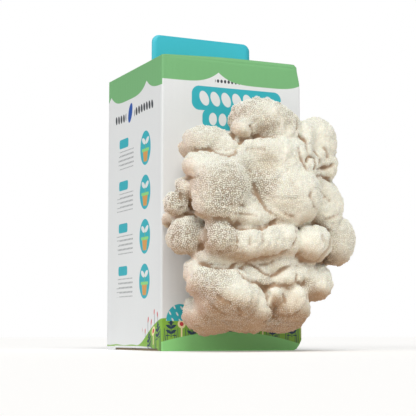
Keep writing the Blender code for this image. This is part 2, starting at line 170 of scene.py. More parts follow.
def pillows(points, cell, seed):
    """Rounded bumps with narrow creases between them: 3t^2 - 2t^3 of t = how much further the
    second nearest of a jittered lattice of centres is than the nearest, in cells."""
    grid = points / cell
    corner = np.floor(grid).astype(np.int64)
    nearest = np.full(len(points), np.inf)
    second = np.full(len(points), np.inf)
    for number in range(27):
        near = corner + np.array([number % 3, number // 3 % 3, number // 9]) - 1
        key = lattice_key(near, seed)
        away = np.zeros(len(points))
        for axis in range(3):
            key = scramble(key) + axis
            jitter = ((key ^ (key >> 16)) & 0xFFFF) / float(0xFFFF)
            away += (grid[:, axis] - near[:, axis] - 0.1 - 0.8 * jitter) ** 2
        away = np.sqrt(away)
        second = np.minimum(second, np.maximum(nearest, away))
        nearest = np.minimum(nearest, away)
    return ramp(second - nearest, 0.0, 0.45)


def ramp(value, low, high):
    """0 below low, 1 above high, and 3t^2 - 2t^3 between them."""
    t = np.clip((value - low) / (high - low), 0.0, 1.0)
    return t * t * (3.0 - 2.0 * t)


def grid_faces(rows, columns, closed=False):
    """Four-sided faces of a grid of rows x columns points, joined round if it is closed."""
    last = columns if closed else columns - 1
    row, column = np.meshgrid(np.arange(rows - 1), np.arange(last), indexing="ij")
    across = (column + 1) % columns
    faces = np.stack([
        row * columns + column,
        row * columns + across,
        (row + 1) * columns + across,
        (row + 1) * columns + column,
    ], axis=-1)
    return faces.reshape(-1, 4)


def fill_mesh(name, points, faces):
    """A mesh from arrays of points and of faces that all have the same number of corners."""
    mesh = bpy.data.meshes.new(name)
    corners = faces.shape[1]
    mesh.vertices.add(len(points))
    mesh.vertices.foreach_set("co", np.asarray(points, np.float32).ravel())
    mesh.loops.add(faces.size)
    mesh.loops.foreach_set("vertex_index", np.asarray(faces, np.int32).ravel())
    mesh.polygons.add(len(faces))
    mesh.polygons.foreach_set("loop_start", np.arange(0, faces.size, corners, dtype=np.int32))
    mesh.update(calc_edges=True)
    mesh.validate()
    return mesh


def set_attribute(mesh, name, values):
    """A number for each point, which a material can read."""
    attribute = mesh.attributes.new(name, "FLOAT", "POINT")
    attribute.data.foreach_set("value", np.asarray(values, np.float32))


def read_attribute(mesh, name):
    """The number that the mesh keeps for each point."""
    values = np.empty(len(mesh.vertices), np.float32)
    mesh.attributes[name].data.foreach_get("value", values)
    return values.astype(float)


def read_points(mesh):
    """The place of each point."""
    points = np.empty(len(mesh.vertices) * 3, np.float32)
    mesh.vertices.foreach_get("co", points)
    return points.reshape(-1, 3).astype(float)


def read_normals(mesh):
    """The way out of the surface at each point."""
    normals = np.empty(len(mesh.vertices) * 3, np.float32)
    mesh.vertices.foreach_get("normal", normals)
    return normals.reshape(-1, 3).astype(float)


def read_edges(mesh):
    """The two points of each edge."""
    edges = np.empty(len(mesh.edges) * 2, np.int32)
    mesh.edges.foreach_get("vertices", edges)
    return edges.reshape(-1, 2)


def read_quads(mesh):
    """The four points of each face, in a mesh that has only four-sided faces."""
    corners = np.empty(len(mesh.loops), np.int32)
    mesh.loops.foreach_get("vertex_index", corners)
    return corners.reshape(-1, 4)


def shade_smooth(mesh):
    """Hide the edges between the faces when light falls on them."""
    mesh.polygons.foreach_set("use_smooth", np.ones(len(mesh.polygons), bool))


def write_points(mesh, points):
    """Move each point to its new place."""
    mesh.vertices.foreach_set("co", points.astype(np.float32).ravel())
    mesh.update()


def add_piece(name, mesh, replaced=()):
    """An object that rides on the part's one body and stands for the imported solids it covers."""
    piece = bpy.data.objects.new(name, mesh)
    bpy.context.scene.collection.objects.link(piece)
    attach(piece, "root")
    if replaced:
        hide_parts(*replaced)
    return piece


# ------------------------------------------------------------------ fungus: its form

FACING = math.radians(-25)      # the lobes face a little left of straight ahead
PANEL_GAP = 0.5 * MM            # between the skin and the front panel
NECK_HALF_WIDTH = 29 * MM       # the neck goes through the window
NECK_HALF_HEIGHT = 40 * MM
NECK_MIDDLE = 112 * MM
NECK_END = BLOCK_FRONT - 0.4 * MM
PLUMP = 2.15                    # 2 is an ellipsoid, and more is fuller between its axes
LOBE_RINGS, LOBE_COLUMNS = 22, 36
CLUSTER_CELL = 2.4 * MM         # grid on which the lobes of a cluster grow together
SKIN_CELL = 1.3 * MM            # grid of the finished skin
TIP = 0.7 * MM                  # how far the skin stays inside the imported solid, for the teeth

# Each lobe is an ellipsoid, in millimetres: centre across the panel, in front of the panel
# and above the floor, half sizes across, deep and tall, and its lean in degrees. The first
# number of a cluster is how often its surface is smoothed, so that its lobes melt together.
CLUSTERS = {
    "core": (2, (
        (7.5, 34, 147, 45, 50, 33.5, 0),
        (8, 33, 102, 50, 52, 35, 0),
        (8, 33, 61, 44.5, 50, 32.5, 0),
        (52, 24, 111, 23.5, 36, 53, 0),
        (6, 24, 37, 39.5, 42, 15, 0),
        (-36, 6, 91, 14, 16, 12, 0),
    )),
    "crown": (6, (
        (-7, 66, 187.5, 27.5, 26, 16.5, 3),
        (6.5, 41, 190, 25.5, 22, 15.5, 10),
        (20, 16, 197, 26.5, 22, 16, 2),
        (10, 70, 182.5, 16, 18, 14.5, 8),
        (20.5, 50, 184.5, 15.5, 15, 14, 2),
        (30.5, 31, 189, 15, 15, 13.5, 9),
        (41, 11, 193, 14.5, 15, 13.5, 15),
        (-26.5, 74, 177, 11.5, 14, 9, 0),
        (-19, 58, 179, 10.5, 13, 8.5, -6),
        (-11, 42, 183, 10.5, 13, 8.5, 6),
        (-2.5, 26, 185, 10.5, 13, 8, 6),
        (6.5, 9, 188.5, 10.5, 13, 8.5, 3),
        (-9.5, 44, 176.5, 15, 40, 8.5, 0),
        (3.5, 69, 175, 25, 21, 11, 4),
        (14.5, 50, 177.5, 22, 17, 9.5, 11),
        (23, 31, 181.5, 24.5, 17, 11, -1),
        (32, 12, 185, 23, 17, 10, 6),
    )),
    "right_shoulder": (5, (
        (48, 58, 173, 19, 24, 21.5, -6),
        (56.5, 36, 176, 16.5, 20, 18.5, -9),
        (44.5, 14, 179.5, 18.5, 20, 21, -6),
        (30, 68, 174.5, 13, 17, 16, -12),
        (36.5, 54, 175, 12, 14, 14.5, -20),
        (46, 39, 179.5, 12.5, 14, 15, -7),
        (53, 25, 182, 12, 14, 14.5, -19),
        (51, 10, 184.5, 12, 14, 14.5, -8),
        (41, 54, 168, 4.5, 42, 13, -16),
        (52.5, 50, 156.5, 9, 42, 6, 20),
        (54.5, 44, 159.5, 12, 42, 13.5, 0),
        (53, 64, 152.5, 12.5, 16, 15, 4),
        (61.5, 46, 155, 12, 13, 14.5, 2),
        (66, 28, 158.5, 11.5, 13, 14, 8),
        (51, 10, 161.5, 12, 13, 15, 11),
    )),
    "left_shoulder": (5, (
        (-48, 52, 165.5, 23.5, 24, 16, 4),
        (-38.5, 33, 167.5, 20.5, 20, 14, 11),
        (-28, 14, 171, 21.5, 20, 14.5, 1),
        (-37.5, 68, 160, 15.5, 16, 11.5, 0),
        (-30.5, 54, 162.5, 14, 13, 10.5, -6),
        (-22, 39, 164.5, 14.5, 13, 11, -7),
        (-15.5, 24, 167, 15.5, 13, 11.5, -4),
        (-8, 9, 169, 15, 13, 11, -1),
    )),
    "brow": (14, (
        (17, 51, 144.5, 25.5, 53, 19, 0),
        (8.5, 49, 162.5, 21.5, 54, 10.5, 0),
        (4.5, 44, 109, 16, 46, 7, 20),
        (-18.5, 44, 149.5, 20, 54, 14.5, 0),
        (11.5, 44, 157, 34, 60, 22, 0),
        (29.5, 48, 157.5, 21.5, 54, 20.5, 8),
        (-10.5, 48, 161.5, 14.5, 46, 12, 0),
        (-1.5, 40, 135, 29, 56, 25, 0),
        (33.5, 46, 144, 27, 56, 26.5, 0),
        (-65.5, 71, 146, 14.5, 15, 11.5, 0),
        (-57, 56, 148.5, 12.5, 13, 10, 0),
        (-51, 40, 150, 13.5, 13, 11, 7),
        (-43, 25, 153, 13.5, 13, 11, -1),
        (-36, 9, 155, 13, 13, 10.5, -1),
        (-37.5, 44, 152, 20, 46, 9.5, 0),
        (-34.5, 47, 132.5, 22.5, 52, 22.5, 0),
        (-49.5, 78, 128, 24, 29, 25, 0),
        (-42.5, 46, 119, 15.5, 48, 13, 0),
        (-60, 84, 114.5, 16.5, 18, 15, 0),
        (-28.5, 48, 114, 14, 46, 10.5, 0),
        (-47, 86, 110, 15, 16, 12, 0),
        (-12, 45, 110.5, 21.5, 46, 10.5, 14),
        (-29, 79, 107, 23, 20, 12, 14),
        (-9, 43, 116, 22, 46, 10.5, 32),
        (-25.5, 76, 112, 24, 21, 12, 32),
        (8, 80, 123.5, 30, 28, 26.5, 10),
        (20, 59, 124.5, 29, 22, 26, 9),
        (31, 37, 128.5, 28, 22, 25, 7),
        (34.5, 16, 131.5, 28.5, 22, 25.5, 18),
        (17.5, 50, 111.5, 21.5, 45, 11, 4),
        (0.5, 81, 108.5, 23.5, 21, 12.5, 4),
        (54.5, 62, 123, 15.5, 22, 20.5, -16),
        (60.5, 46, 124.5, 15, 18, 19.5, -19),
        (64.5, 29, 126, 13.5, 18, 18, -10),
        (48.5, 13, 128, 14.5, 18, 19, -13),
        (48.5, 69, 110, 16, 17, 12, 0),
        (55.5, 54, 111.5, 15, 14, 11, 3),
        (60.5, 40, 112.5, 14.5, 14, 11, 3),
        (64.5, 25, 114.5, 14.5, 14, 11, 1),
        (48.5, 10, 117, 14.5, 14, 11, 3),
    )),
    "left_nub_top": (3, (
        (-69, 60, 128.5, 11, 14, 10, 0),
        (-62, 47, 130, 10, 13, 9, 5),
        (-57, 35, 131.5, 10, 13, 9, 5),
        (-51, 22, 133, 10, 13, 9, 3),
        (-45, 9, 135, 11, 13, 10, 0),
    )),
    "left_nubs": (2, (
        (-76.5, 54, 116.5, 12.5, 14, 11, 0),
        (-68.5, 39, 117.5, 11, 13, 9.5, 0),
        (-62, 24, 119.5, 12, 13, 10, -5),
        (-52, 9, 121.5, 12, 13, 10.5, -1),
        (-66.5, 50, 116.5, 8.5, 14, 10.5, 0),
        (-59.5, 36, 118, 8, 13, 9.5, 4),
        (-54.5, 23, 119.5, 7.5, 13, 9, 2),
        (-48, 9, 121, 7.5, 13, 9.5, -7),
        (-67, 14, 107.5, 5, 20, 6, 0),
        (-67, 42, 107.5, 12, 14, 8, 0),
        (-59, 26, 109.5, 11, 13, 7, -6),
        (-52, 9, 111, 11, 13, 7, -7),
        (-54, 53, 106.5, 13.5, 14, 7.5, 0),
        (-47, 38, 108, 12, 13, 6.5, 1),
        (-39.5, 24, 110, 12, 13, 6.5, -2),
        (-33.5, 9, 111.5, 12.5, 13, 7, 5),
    )),
    "row_left_ball": (2, (
        (-66, 53, 92, 17.5, 21, 17, 0),
        (-56.5, 33, 94, 15.5, 18, 15.5, -6),
        (-47, 13, 95.5, 16.5, 18, 16, 7),
    )),
    "row_sausage": (4, (
        (-36, 48, 93, 14.5, 43, 13.5, 0),
        (-51, 80, 90.5, 15.5, 18, 15, 0),
        (-26, 44, 85, 14, 41, 11.5, 14),
        (-41.5, 76, 82.5, 15, 16, 12.5, 14),
        (-12.5, 49, 87.5, 17, 47, 13.5, 0),
        (-30, 84, 84.5, 18.5, 20, 15, 0),
        (4.5, 51, 89, 18, 47, 13, -6),
        (-14, 86, 86, 19, 20, 14.5, -6),
        (22, 52, 92, 12, 46, 12.5, -4),
        (2, 89, 89, 13, 16, 13.5, -4),
        (21.5, 51, 86, 13, 43, 8.5, 0),
        (2, 87, 83, 14, 14, 9.5, 0),
    )),
    "row_right_ball": (2, (
        (44.5, 57, 88.5, 15.5, 43, 15, 0),
        (27, 87, 86, 17, 20, 16.5, 0),
    )),
    "row_right_outer": (3, (
        (63.5, 60, 91.5, 18, 24, 22, -4),
        (67.5, 37, 93, 17, 20, 21, -2),
        (46, 15, 95.5, 17, 20, 20.5, -3),
        (50.5, 70, 102, 12, 14, 10, 0),
        (58, 55, 103.5, 11.5, 13, 9.5, -2),
        (63, 40, 105.5, 11.5, 13, 9.5, 1),
        (66.5, 25, 106.5, 11.5, 13, 9.5, 6),
        (51.5, 9, 108.5, 11.5, 13, 9.5, -3),
    )),
    "under_left": (2, (
        (-47, 64, 73.5, 19.5, 19, 11.5, 4),
        (-38, 47, 74.5, 18.5, 16, 11, 11),
        (-30, 29, 75.5, 18, 16, 10.5, 4),
        (-21.5, 11, 77, 18, 16, 10.5, 4),
        (-19.5, 37, 75, 14, 43, 10, 0),
        (-36.5, 72, 73, 14.5, 15, 10.5, 0),
    )),
    "fold_upper": (3, (
        (12, 44, 71.5, 23, 43, 11, -8),
        (-3, 72, 69.5, 25, 22, 12, -8),
        (-4, 44, 68, 14, 40, 10, 20),
        (-19.5, 75, 66, 15, 15, 11, 20),
        (21.5, 42, 66, 14.5, 46, 8, -10),
    )),
    "fold_lower": (3, (
        (10.5, 45, 66, 20, 48, 8.5, 0),
        (-4, 44, 62, 15.5, 41, 10.5, 16),
        (-20, 76, 60, 16.5, 16, 11.5, 16),
        (22.5, 44, 59.5, 17.5, 45, 10, -10),
        (4, 79, 58, 19, 17, 11, -10),
        (9.5, 44, 57.5, 16.5, 48, 9, 0),
    )),
    "lower_right_ball": (4, (
        (35, 77, 55, 15, 19, 15.5, 0),
        (43.5, 61, 57.5, 13, 16, 14, 2),
        (52, 44, 57, 13.5, 16, 14.5, 5),
        (57.5, 28, 58.5, 13.5, 16, 14, 7),
        (48, 11, 59.5, 15, 16, 15.5, -6),
        (38.5, 46, 67, 12.5, 40, 9.5, 0),
        (20.5, 78, 65, 13.5, 14, 10, 0),
        (47, 68, 60.5, 8.5, 14, 11, 0),
        (54.5, 53, 61.5, 8.5, 13, 10.5, 0),
        (61, 39, 62.5, 8, 13, 10.5, -6),
        (65, 24, 63.5, 8.5, 13, 11, -3),
        (55, 9, 64, 8, 13, 10.5, -2),
    )),
    "lower_right_mid": (3, (
        (11.5, 75, 36, 18, 19, 13.5, 0),
        (22.5, 54, 38.5, 17, 16, 13, -4),
        (34.5, 33, 37.5, 16.5, 16, 12.5, 1),
        (45.5, 12, 39, 16, 16, 12.5, 1),
        (13.5, 50, 47, 8.5, 40, 8.5, 0),
        (-4.5, 84, 46, 9, 12, 9, 0),
        (32.5, 50, 45, 10, 40, 10.5, 0),
        (14.5, 83, 44, 11, 13, 11.5, 0),
    )),
    "lower_left": (5, (
        (-62, 60, 63, 11.5, 14, 12, 0),
        (-53.5, 43, 64.5, 10.5, 13, 11, 7),
        (-46.5, 26, 64.5, 10.5, 13, 10.5, -5),
        (-38, 9, 67, 10.5, 13, 11, 5),
        (-52.5, 69, 53, 21.5, 23, 15.5, 10),
        (-43, 51, 55, 20, 19, 14, 14),
        (-35, 32, 55.5, 21, 19, 15, 11),
        (-25.5, 14, 57, 20.5, 19, 14.5, 11),
        (-23.5, 40, 47, 25.5, 53, 19.5, 20),
        (-39.5, 73, 46, 27.5, 29, 21, 20),
        (-3, 42, 36, 15.5, 46, 14.5, 10),
        (-20.5, 77, 35, 16.5, 19, 15.5, 10),
        (-49, 71, 38, 17, 19, 13.5, 0),
        (-39.5, 51, 40, 16, 16, 13, 5),
        (-29, 31, 41, 16.5, 16, 13, 4),
        (-19, 12, 40.5, 17, 16, 14, -7),
        (-38, 51, 34, 12.5, 42, 8.5, 10),
        (-25, 49, 30, 13, 42, 8.5, 0),
        (-9.5, 50, 30.5, 14, 44, 8, 0),
    )),
    "base": (4, (
        (-47.5, 54, 29, 23, 24, 16.5, 0),
        (-37.5, 34, 30.5, 21.5, 20, 15.5, 7),
        (-29, 15, 31.5, 22, 20, 15.5, 7),
        (-57.5, 46, 33.5, 10, 14, 10.5, 0),
        (-51, 34, 34.5, 9, 13, 9, -5),
        (-46.5, 22, 35.5, 9.5, 13, 9.5, -2),
        (-41, 9, 35, 9, 13, 9, 4),
        (-22.5, 63, 24.5, 23.5, 21, 10, 0),
        (-14.5, 46, 25.5, 22, 17, 9.5, -3),
        (-5, 29, 25, 22, 17, 9, -2),
        (4, 12, 26.5, 21, 17, 9, 2),
        (19.5, 64, 29, 19.5, 20, 12.5, -30),
        (29.5, 47, 30.5, 18, 16, 11, -28),
        (38, 29, 31, 18, 16, 11, -26),
        (44.5, 12, 31.5, 18.5, 16, 11.5, -32),
        (5, 65, 24.5, 18.5, 17, 9.5, 0),
        (14, 47, 25.5, 17, 14, 9, 2),
        (24.5, 28, 26.5, 16, 14, 8.5, -6),
        (33, 10, 25.5, 17.5, 14, 9, 0),
    )),
}

TOOTH_BASE = 0.28               # strength of the teeth outside all patches
TOOTH_PATCHES = (30 * MM, 23)   # size and seed of its changes over the sides
TOOTH_SPECKS = (12 * MM, 21)    # and of the smaller changes everywhere

# Patches with long teeth, in millimetres: centre across the panel, in front of it and above
# the floor, reach, and strength from 0 to 1
TOOTHY = (
    (-19, 70, 187, 20, 0.95),
    (4, 75, 190, 20, 0.75),
    (-59, 70, 168, 23, 0.50),
    (-26, 95, 151, 22, 0.50),
    (-56, 100, 122, 26, 0.90),
    (-22, 92, 132, 16, 0.95),
    (-1, 95, 115, 23, 0.45),
    (-81, 55, 122, 18, 1.00),
    (-78, 70, 88, 18, 1.00),
    (-53, 88, 90, 17, 0.95),
    (-35, 92, 87, 14, 0.50),
    (-60, 85, 54, 17, 0.90),
    (26, 85, 54, 8, 0.80),
    (-42, 85, 30, 24, 0.60),
    (-16, 90, 55, 7, 0.60),
    (8, 95, 139, 27, 0.30),
    (-12, 82, 178, 15, 0.80),
    (6, 80, 24, 22, 0.55),
    (54, 70, 91, 27, 0.60),
)

# Relief of the skin: the height, the size and the seed of each kind of lump. A billow is
# |noise| times its steepness, which leaves a narrow valley where the noise changes sign.
LUMPS = (
    (1.0 * MM, 15 * MM, 4),
    (0.9 * MM, 7.5 * MM, 5),
    (0.60 * MM, 3.3 * MM, 7),
)
BROAD_BILLOWS = (0.60 * MM, 9 * MM, 11, 3.0)
FINE_BILLOWS = (0.35 * MM, 4.5 * MM, 13, 2.5)
BROAD_PILLOWS = (0.9 * MM, 11 * MM, 43)
FINE_PILLOWS = (0.70 * MM, 6 * MM, 47)
SIDE_PILLOWS = (4.2 * MM, 19 * MM, 53)      # on the sides, towards the panel
SIDE_FRONT, SIDE_REAR = 62 * MM, 38 * MM    # where they begin and where they are full
PATCH = (26 * MM, 41)           # size and seed of the patches where the broad pillows show
GAP_ROUNDS = 20                 # rounds of averaging that measure a gap between lobes
GAP_FILLING = 0.4               # share of its depth that is filled
GAP_LEAST, GAP_MOST = 0.2 * MM, 4.0 * MM
CREASE_DEPTH = 0.9              # a crease is cut deeper by this share of its depth
CREASE_MOST = 0.8 * MM          # and no more than this depth counts

# Wrinkles and narrow creases: depth, half width, and places along each (across, ahead, up), in mm
WRINKLES = (
    (2.4, 1.5, (
        (14, 88, 175), (18, 84, 173), (22, 84, 169), (21, 90, 162), (22, 92, 156), (19, 94, 151),
        (16, 95, 149),
    )),
    (1.6, 1.6, (
        (12, 92, 166), (12, 94, 160), (13, 94, 154), (15, 95, 150), (18, 96, 145), (21, 97, 142),
    )),
    (2.4, 1.5, (
        (20, 94, 156), (25, 90, 156), (30, 87, 155), (29, 90, 151), (28, 92, 147), (25, 94, 142),
    )),
    (3.0, 1.8, ((27, 93, 145), (38, 81, 148), (48, 75, 150), (53, 76, 152), (58, 74, 155))),
    (1.6, 1.5, ((25, 90, 161), (35, 80, 161), (37, 83, 157), (38, 82, 153), (32, 90, 148))),
    (1.1, 1.8, ((41, 79, 168), (46, 78, 164), (49, 76, 160), (48, 78, 156))),
    (1.4, 1.8, ((16, 83, 186), (18, 82, 182), (14, 88, 176))),
    (1.9, 1.6, ((-27, 85, 180), (-25, 84, 177), (-23, 80, 173), (-24, 81, 169))),
    (0.8, 1.6, ((-35, 88, 158), (-27, 88, 159), (-21, 90, 159), (-14, 98, 158))),
    (1.5, 1.5, ((-44, 93, 93), (-44, 95, 86), (-44, 94, 82), (-42, 91, 76))),
    (0.9, 1.8, ((-34, 101, 91), (-35, 101, 85), (-36, 101, 80))),
    (1.1, 1.8, ((-21, 97, 94), (-25, 101, 89), (-24, 101, 82))),
    (1.6, 1.6, ((-61, 84, 80), (-55, 85, 79), (-50, 85, 76))),
    (2.2, 1.5, (
        (-32, 85, 69), (-27, 86, 68), (-22, 88, 65), (-17, 89, 61), (-11, 88, 59), (-7, 88, 61),
        (-3, 90, 64), (3, 91, 67), (9, 91, 70),
    )),
    (1.2, 1.6, ((-27, 86, 68), (-19, 87, 68), (-12, 90, 69), (-8, 92, 73))),
    (2.2, 1.5, ((11, 92, 64), (10, 93, 59), (9, 92, 55), (16, 87, 54), (20, 88, 51))),
    (1.8, 1.7, ((-60, 90, 46), (-57, 93, 41), (-52, 95, 38), (-46, 98, 36))),
    (1.6, 1.7, ((-62, 83, 40), (-58, 85, 34), (-51, 85, 30), (-47, 90, 29))),
    (1.8, 1.6, ((-45, 98, 35), (-39, 94, 30), (-38, 89, 27))),
    (1.6, 1.8, ((-1, 90, 48), (1, 89, 42), (1, 91, 37))),
    (1.5, 1.7, (
        (-29, 89, 136), (-25, 88, 131), (-22, 86, 124), (-20, 90, 117), (-17, 93, 111), (-12, 95, 107),
        (-6, 97, 103),
    )),
    (1.4, 1.7, ((-7, 98, 111), (-3, 99, 107), (2, 100, 106), (5, 102, 106))),
    (1.1, 1.6, ((-56, 100, 112), (-49, 100, 113), (-40, 97, 113), (-34, 95, 113))),
    (1.2, 1.6, ((-53, 98, 106), (-46, 98, 106), (-37, 96, 106), (-31, 97, 106), (-25, 99, 103))),
    (1.1, 1.6, ((-49, 93, 102), (-42, 90, 100), (-38, 91, 98))),
    (1.5, 1.7, ((-79, 60, 126), (-78, 64, 123), (-77, 65, 118), (-76, 63, 113), (-78, 61, 109))),
    (1.6, 1.5, ((-74, 62, 137), (-73, 74, 135), (-72, 82, 135), (-72, 89, 136))),
    (1.1, 1.7, ((24, 104, 127), (44, 79, 125), (49, 82, 120))),
    (1.2, 1.6, ((17, 107, 130), (14, 107, 122), (19, 104, 114), (38, 82, 111))),
    (1.1, 1.7, ((44, 80, 101), (27, 104, 91), (31, 103, 83))),
    (2.0, 1.7, (
        (-36, 62, 176), (-36, 70, 174), (-37, 79, 168), (-34, 80, 164), (-30, 78, 167), (-26, 79, 168),
        (-20, 78, 170), (-14, 81, 170), (-7, 86, 170), (-1, 91, 170),
    )),
    (2.0, 1.7, (
        (-67, 54, 158), (-64, 63, 159), (-56, 70, 159), (-53, 80, 155), (-47, 86, 152), (-41, 87, 154),
        (-36, 83, 161),
    )),
    (2.0, 1.7, (
        (-72, 82, 134), (-73, 78, 130), (-71, 72, 124), (-74, 79, 117), (-64, 58, 113), (-73, 82, 108),
        (-70, 86, 105), (-64, 86, 103), (-58, 91, 102), (-51, 93, 102), (-44, 90, 98), (-41, 90, 96),
        (-35, 93, 95), (-27, 95, 95), (-21, 96, 96), (-14, 93, 99), (-9, 94, 103), (-6, 97, 103),
        (0, 98, 102), (7, 96, 99),
    )),
    (2.0, 1.7, (
        (12, 94, 100), (22, 93, 101), (39, 76, 102), (41, 77, 101), (46, 80, 98), (36, 100, 88),
        (36, 100, 84), (33, 99, 78), (29, 94, 73), (28, 91, 72), (23, 89, 71), (17, 87, 72),
        (12, 89, 76), (0, 99, 79),
    )),
    (2.0, 1.7, ((8, 97, 97), (7, 98, 91), (5, 100, 86), (1, 100, 80))),
    (1.8, 1.7, ((59, 42, 74), (56, 57, 71))),
    (1.8, 1.7, (
        (-33, 88, 71), (-28, 88, 71), (-20, 89, 73), (-13, 91, 74), (-7, 93, 76), (-2, 98, 79),
        (0, 99, 79),
    )),
    (2.0, 1.7, (
        (-65, 65, 73), (-64, 71, 69), (-59, 76, 67), (-56, 83, 65), (-49, 83, 64), (-43, 83, 65),
        (-39, 84, 68), (-34, 86, 69),
    )),
    (2.0, 1.7, (
        (-38, 83, 67), (-40, 91, 62), (-37, 94, 57), (-31, 93, 55), (-24, 89, 54), (-17, 86, 51),
        (-12, 86, 51), (-8, 88, 53), (-3, 90, 52), (3, 89, 51), (7, 91, 53), (14, 88, 54),
    )),
    (2.0, 1.7, (
        (-14, 85, 49), (-14, 88, 43), (-15, 91, 37), (-9, 85, 34), (-10, 85, 30), (-13, 84, 25),
        (-18, 85, 22),
    )),
    (2.0, 1.7, ((16, 87, 54), (18, 91, 50), (19, 93, 45), (22, 89, 40))),
    (1.4, 1.5, ((-9, 85, 30), (-1, 85, 29), (6, 87, 28), (11, 90, 30), (17, 92, 35))),
    (2.0, 1.7, ((-57, 65, 103), (-65, 83, 94), (-65, 82, 86), (-62, 68, 81), (-65, 67, 76))),
    (1.8, 1.7, (
        (-79, 55, 104), (-77, 58, 106), (-71, 58, 108), (-65, 59, 109), (-63, 61, 108), (-64, 81, 102),
    )),
    (1.8, 1.7, ((26, 96, 139), (38, 83, 142), (52, 72, 141), (54, 73, 138))),
    (1.4, 1.7, ((40, 80, 105), (47, 83, 108), (59, 79, 113))),
)


def wrinkle_depth(place):
    """How deep in the wrinkles each place is, in mm: depth e^(-(d / half width)^2) at a distance
    d from the line, in which a difference towards the viewer counts less. Both ends fade out."""
    squeeze = np.array([1.0, 0.4, 1.0])
    deepest = np.zeros(len(place))
    for depth, width, line in WRINKLES:
        line = np.array(line, float) * squeeze
        nearest = np.full(len(place), 1e9)
        share = np.zeros(len(place))
        for index, (start, end) in enumerate(zip(line[:-1], line[1:])):
            along = np.clip((place * squeeze - start) @ (end - start) / np.sum((end - start) ** 2), 0, 1)
            away = np.sum((place * squeeze - start - along[:, None] * (end - start)) ** 2, axis=1)
            share = np.where(away < nearest, (index + along) / (len(line) - 1), share)
            nearest = np.minimum(nearest, away)
        fading = ramp(share, -0.05, 0.25) * ramp(-share, -1.05, -0.75)
        deepest = np.maximum(deepest, depth * fading * np.exp(-nearest / width ** 2))
    return deepest


def ball_faces(rings, columns):
    """Triangles of a closed ball: rings of points, then one point at the foot and one on top."""
    quads = grid_faces(rings, columns, closed=True)
    ring = np.arange(columns)
    after = (ring + 1) % columns
    foot = np.full(columns, rings * columns)
    head = (rings - 1) * columns
    return np.concatenate([
        quads[:, [0, 1, 2]],
        quads[:, [0, 2, 3]],
        np.stack([after, ring, foot], axis=1),
        np.stack([head + ring, head + after, foot + 1], axis=1),
    ])


def lobe_points(lobe):
    """A plump ellipsoid over longitude u and latitude v. The direction d = (cos u cos v,
    sin u cos v, sin v) is divided by (|dx|^p + |dy|^p + |dz|^p)^(1/p), sized, leaned, faced
    and moved to its place."""
    across, ahead, up, half_across, half_deep, half_tall, lean = lobe
    latitude = np.linspace(-math.pi / 2, math.pi / 2, LOBE_RINGS + 2)[1:-1]
    longitude = np.linspace(0, 2 * math.pi, LOBE_COLUMNS, endpoint=False)
    v, u = np.meshgrid(latitude, longitude, indexing="ij")
    ball = np.stack([np.cos(u) * np.cos(v), np.sin(u) * np.cos(v), np.sin(v)], axis=-1).reshape(-1, 3)
    ball = np.concatenate([ball, [(0, 0, -1), (0, 0, 1)]])
    ball /= np.sum(np.abs(ball) ** PLUMP, axis=1)[:, None] ** (1 / PLUMP)
    size = np.array([half_across, half_deep, half_tall]) * MM - TIP
    turn = Matrix.Rotation(FACING, 3, "Z") @ Matrix.Rotation(math.radians(lean), 3, "Y")
    centre = np.array([across * MM, FRONT - ahead * MM, up * MM])
    return (ball * size) @ np.array(turn).T + centre


def grown_mesh(mesh, cell, smoothing):
    """The outside of overlapping closed surfaces as one skin, smoothed a number of times."""
    thing = bpy.data.objects.new("growth", mesh)
    bpy.context.scene.collection.objects.link(thing)
    skin = thing.modifiers.new("one skin", "REMESH")
    skin.mode = "VOXEL"
    skin.voxel_size = cell
    soft = thing.modifiers.new("soft", "SMOOTH")
    soft.factor = 0.5
    soft.iterations = smoothing
    evaluated = thing.evaluated_get(bpy.context.evaluated_depsgraph_get())
    result = bpy.data.meshes.new_from_object(evaluated)
    bpy.data.objects.remove(thing, do_unlink=True)
    bpy.data.meshes.remove(mesh)
    return result


class Net:
    """The points of a mesh as its edges join them, to average values over neighbours."""

    def __init__(self, mesh):
        self.edges = read_edges(mesh)
        self.degree = np.bincount(self.edges.ravel(), minlength=len(mesh.vertices)).astype(float)

    def average(self, values, rounds=1):
        """In each round a point's value becomes the mean over the points an edge joins it to."""
        first, second = self.edges.T
        for _ in range(rounds):
            mean = np.empty_like(values)
            for axis in range(values.shape[1]):
                column = values[:, axis]
                total = np.bincount(first, column[second], len(column))
                total += np.bincount(second, column[first], len(column))
                mean[:, axis] = total / self.degree
            values = mean
        return values

    def hollowness(self, points, normals, rounds):
        """How far the smoothed surface lies outside the point: above 0 in a crease, in metres."""
        return np.sum((self.average(points, rounds) - points) * normals, axis=1)


def press_on_panel(points):
    """Keep the skin in front of the panel, but let the neck reach through the window."""
    in_window = np.abs(points[:, 0]) < NECK_HALF_WIDTH
    in_window &= np.abs(points[:, 2] - NECK_MIDDLE) < NECK_HALF_HEIGHT
    soft = 1.5 * MM
    ahead = FRONT - PANEL_GAP - points[:, 1]
    kept = soft * np.log1p(np.exp(np.clip(ahead / soft, -30, 30)))
    kept = np.where(ahead > 30 * soft, ahead, kept)
    pressed = points.copy()
    pressed[:, 1] = np.where(in_window, np.minimum(points[:, 1], NECK_END), FRONT - PANEL_GAP - kept)
    return pressed


def panel_place(points):
    """Millimetres across the panel, in front of it and above the floor."""
    return np.stack([points[:, 0], FRONT - points[:, 1], points[:, 2]], axis=1) / MM


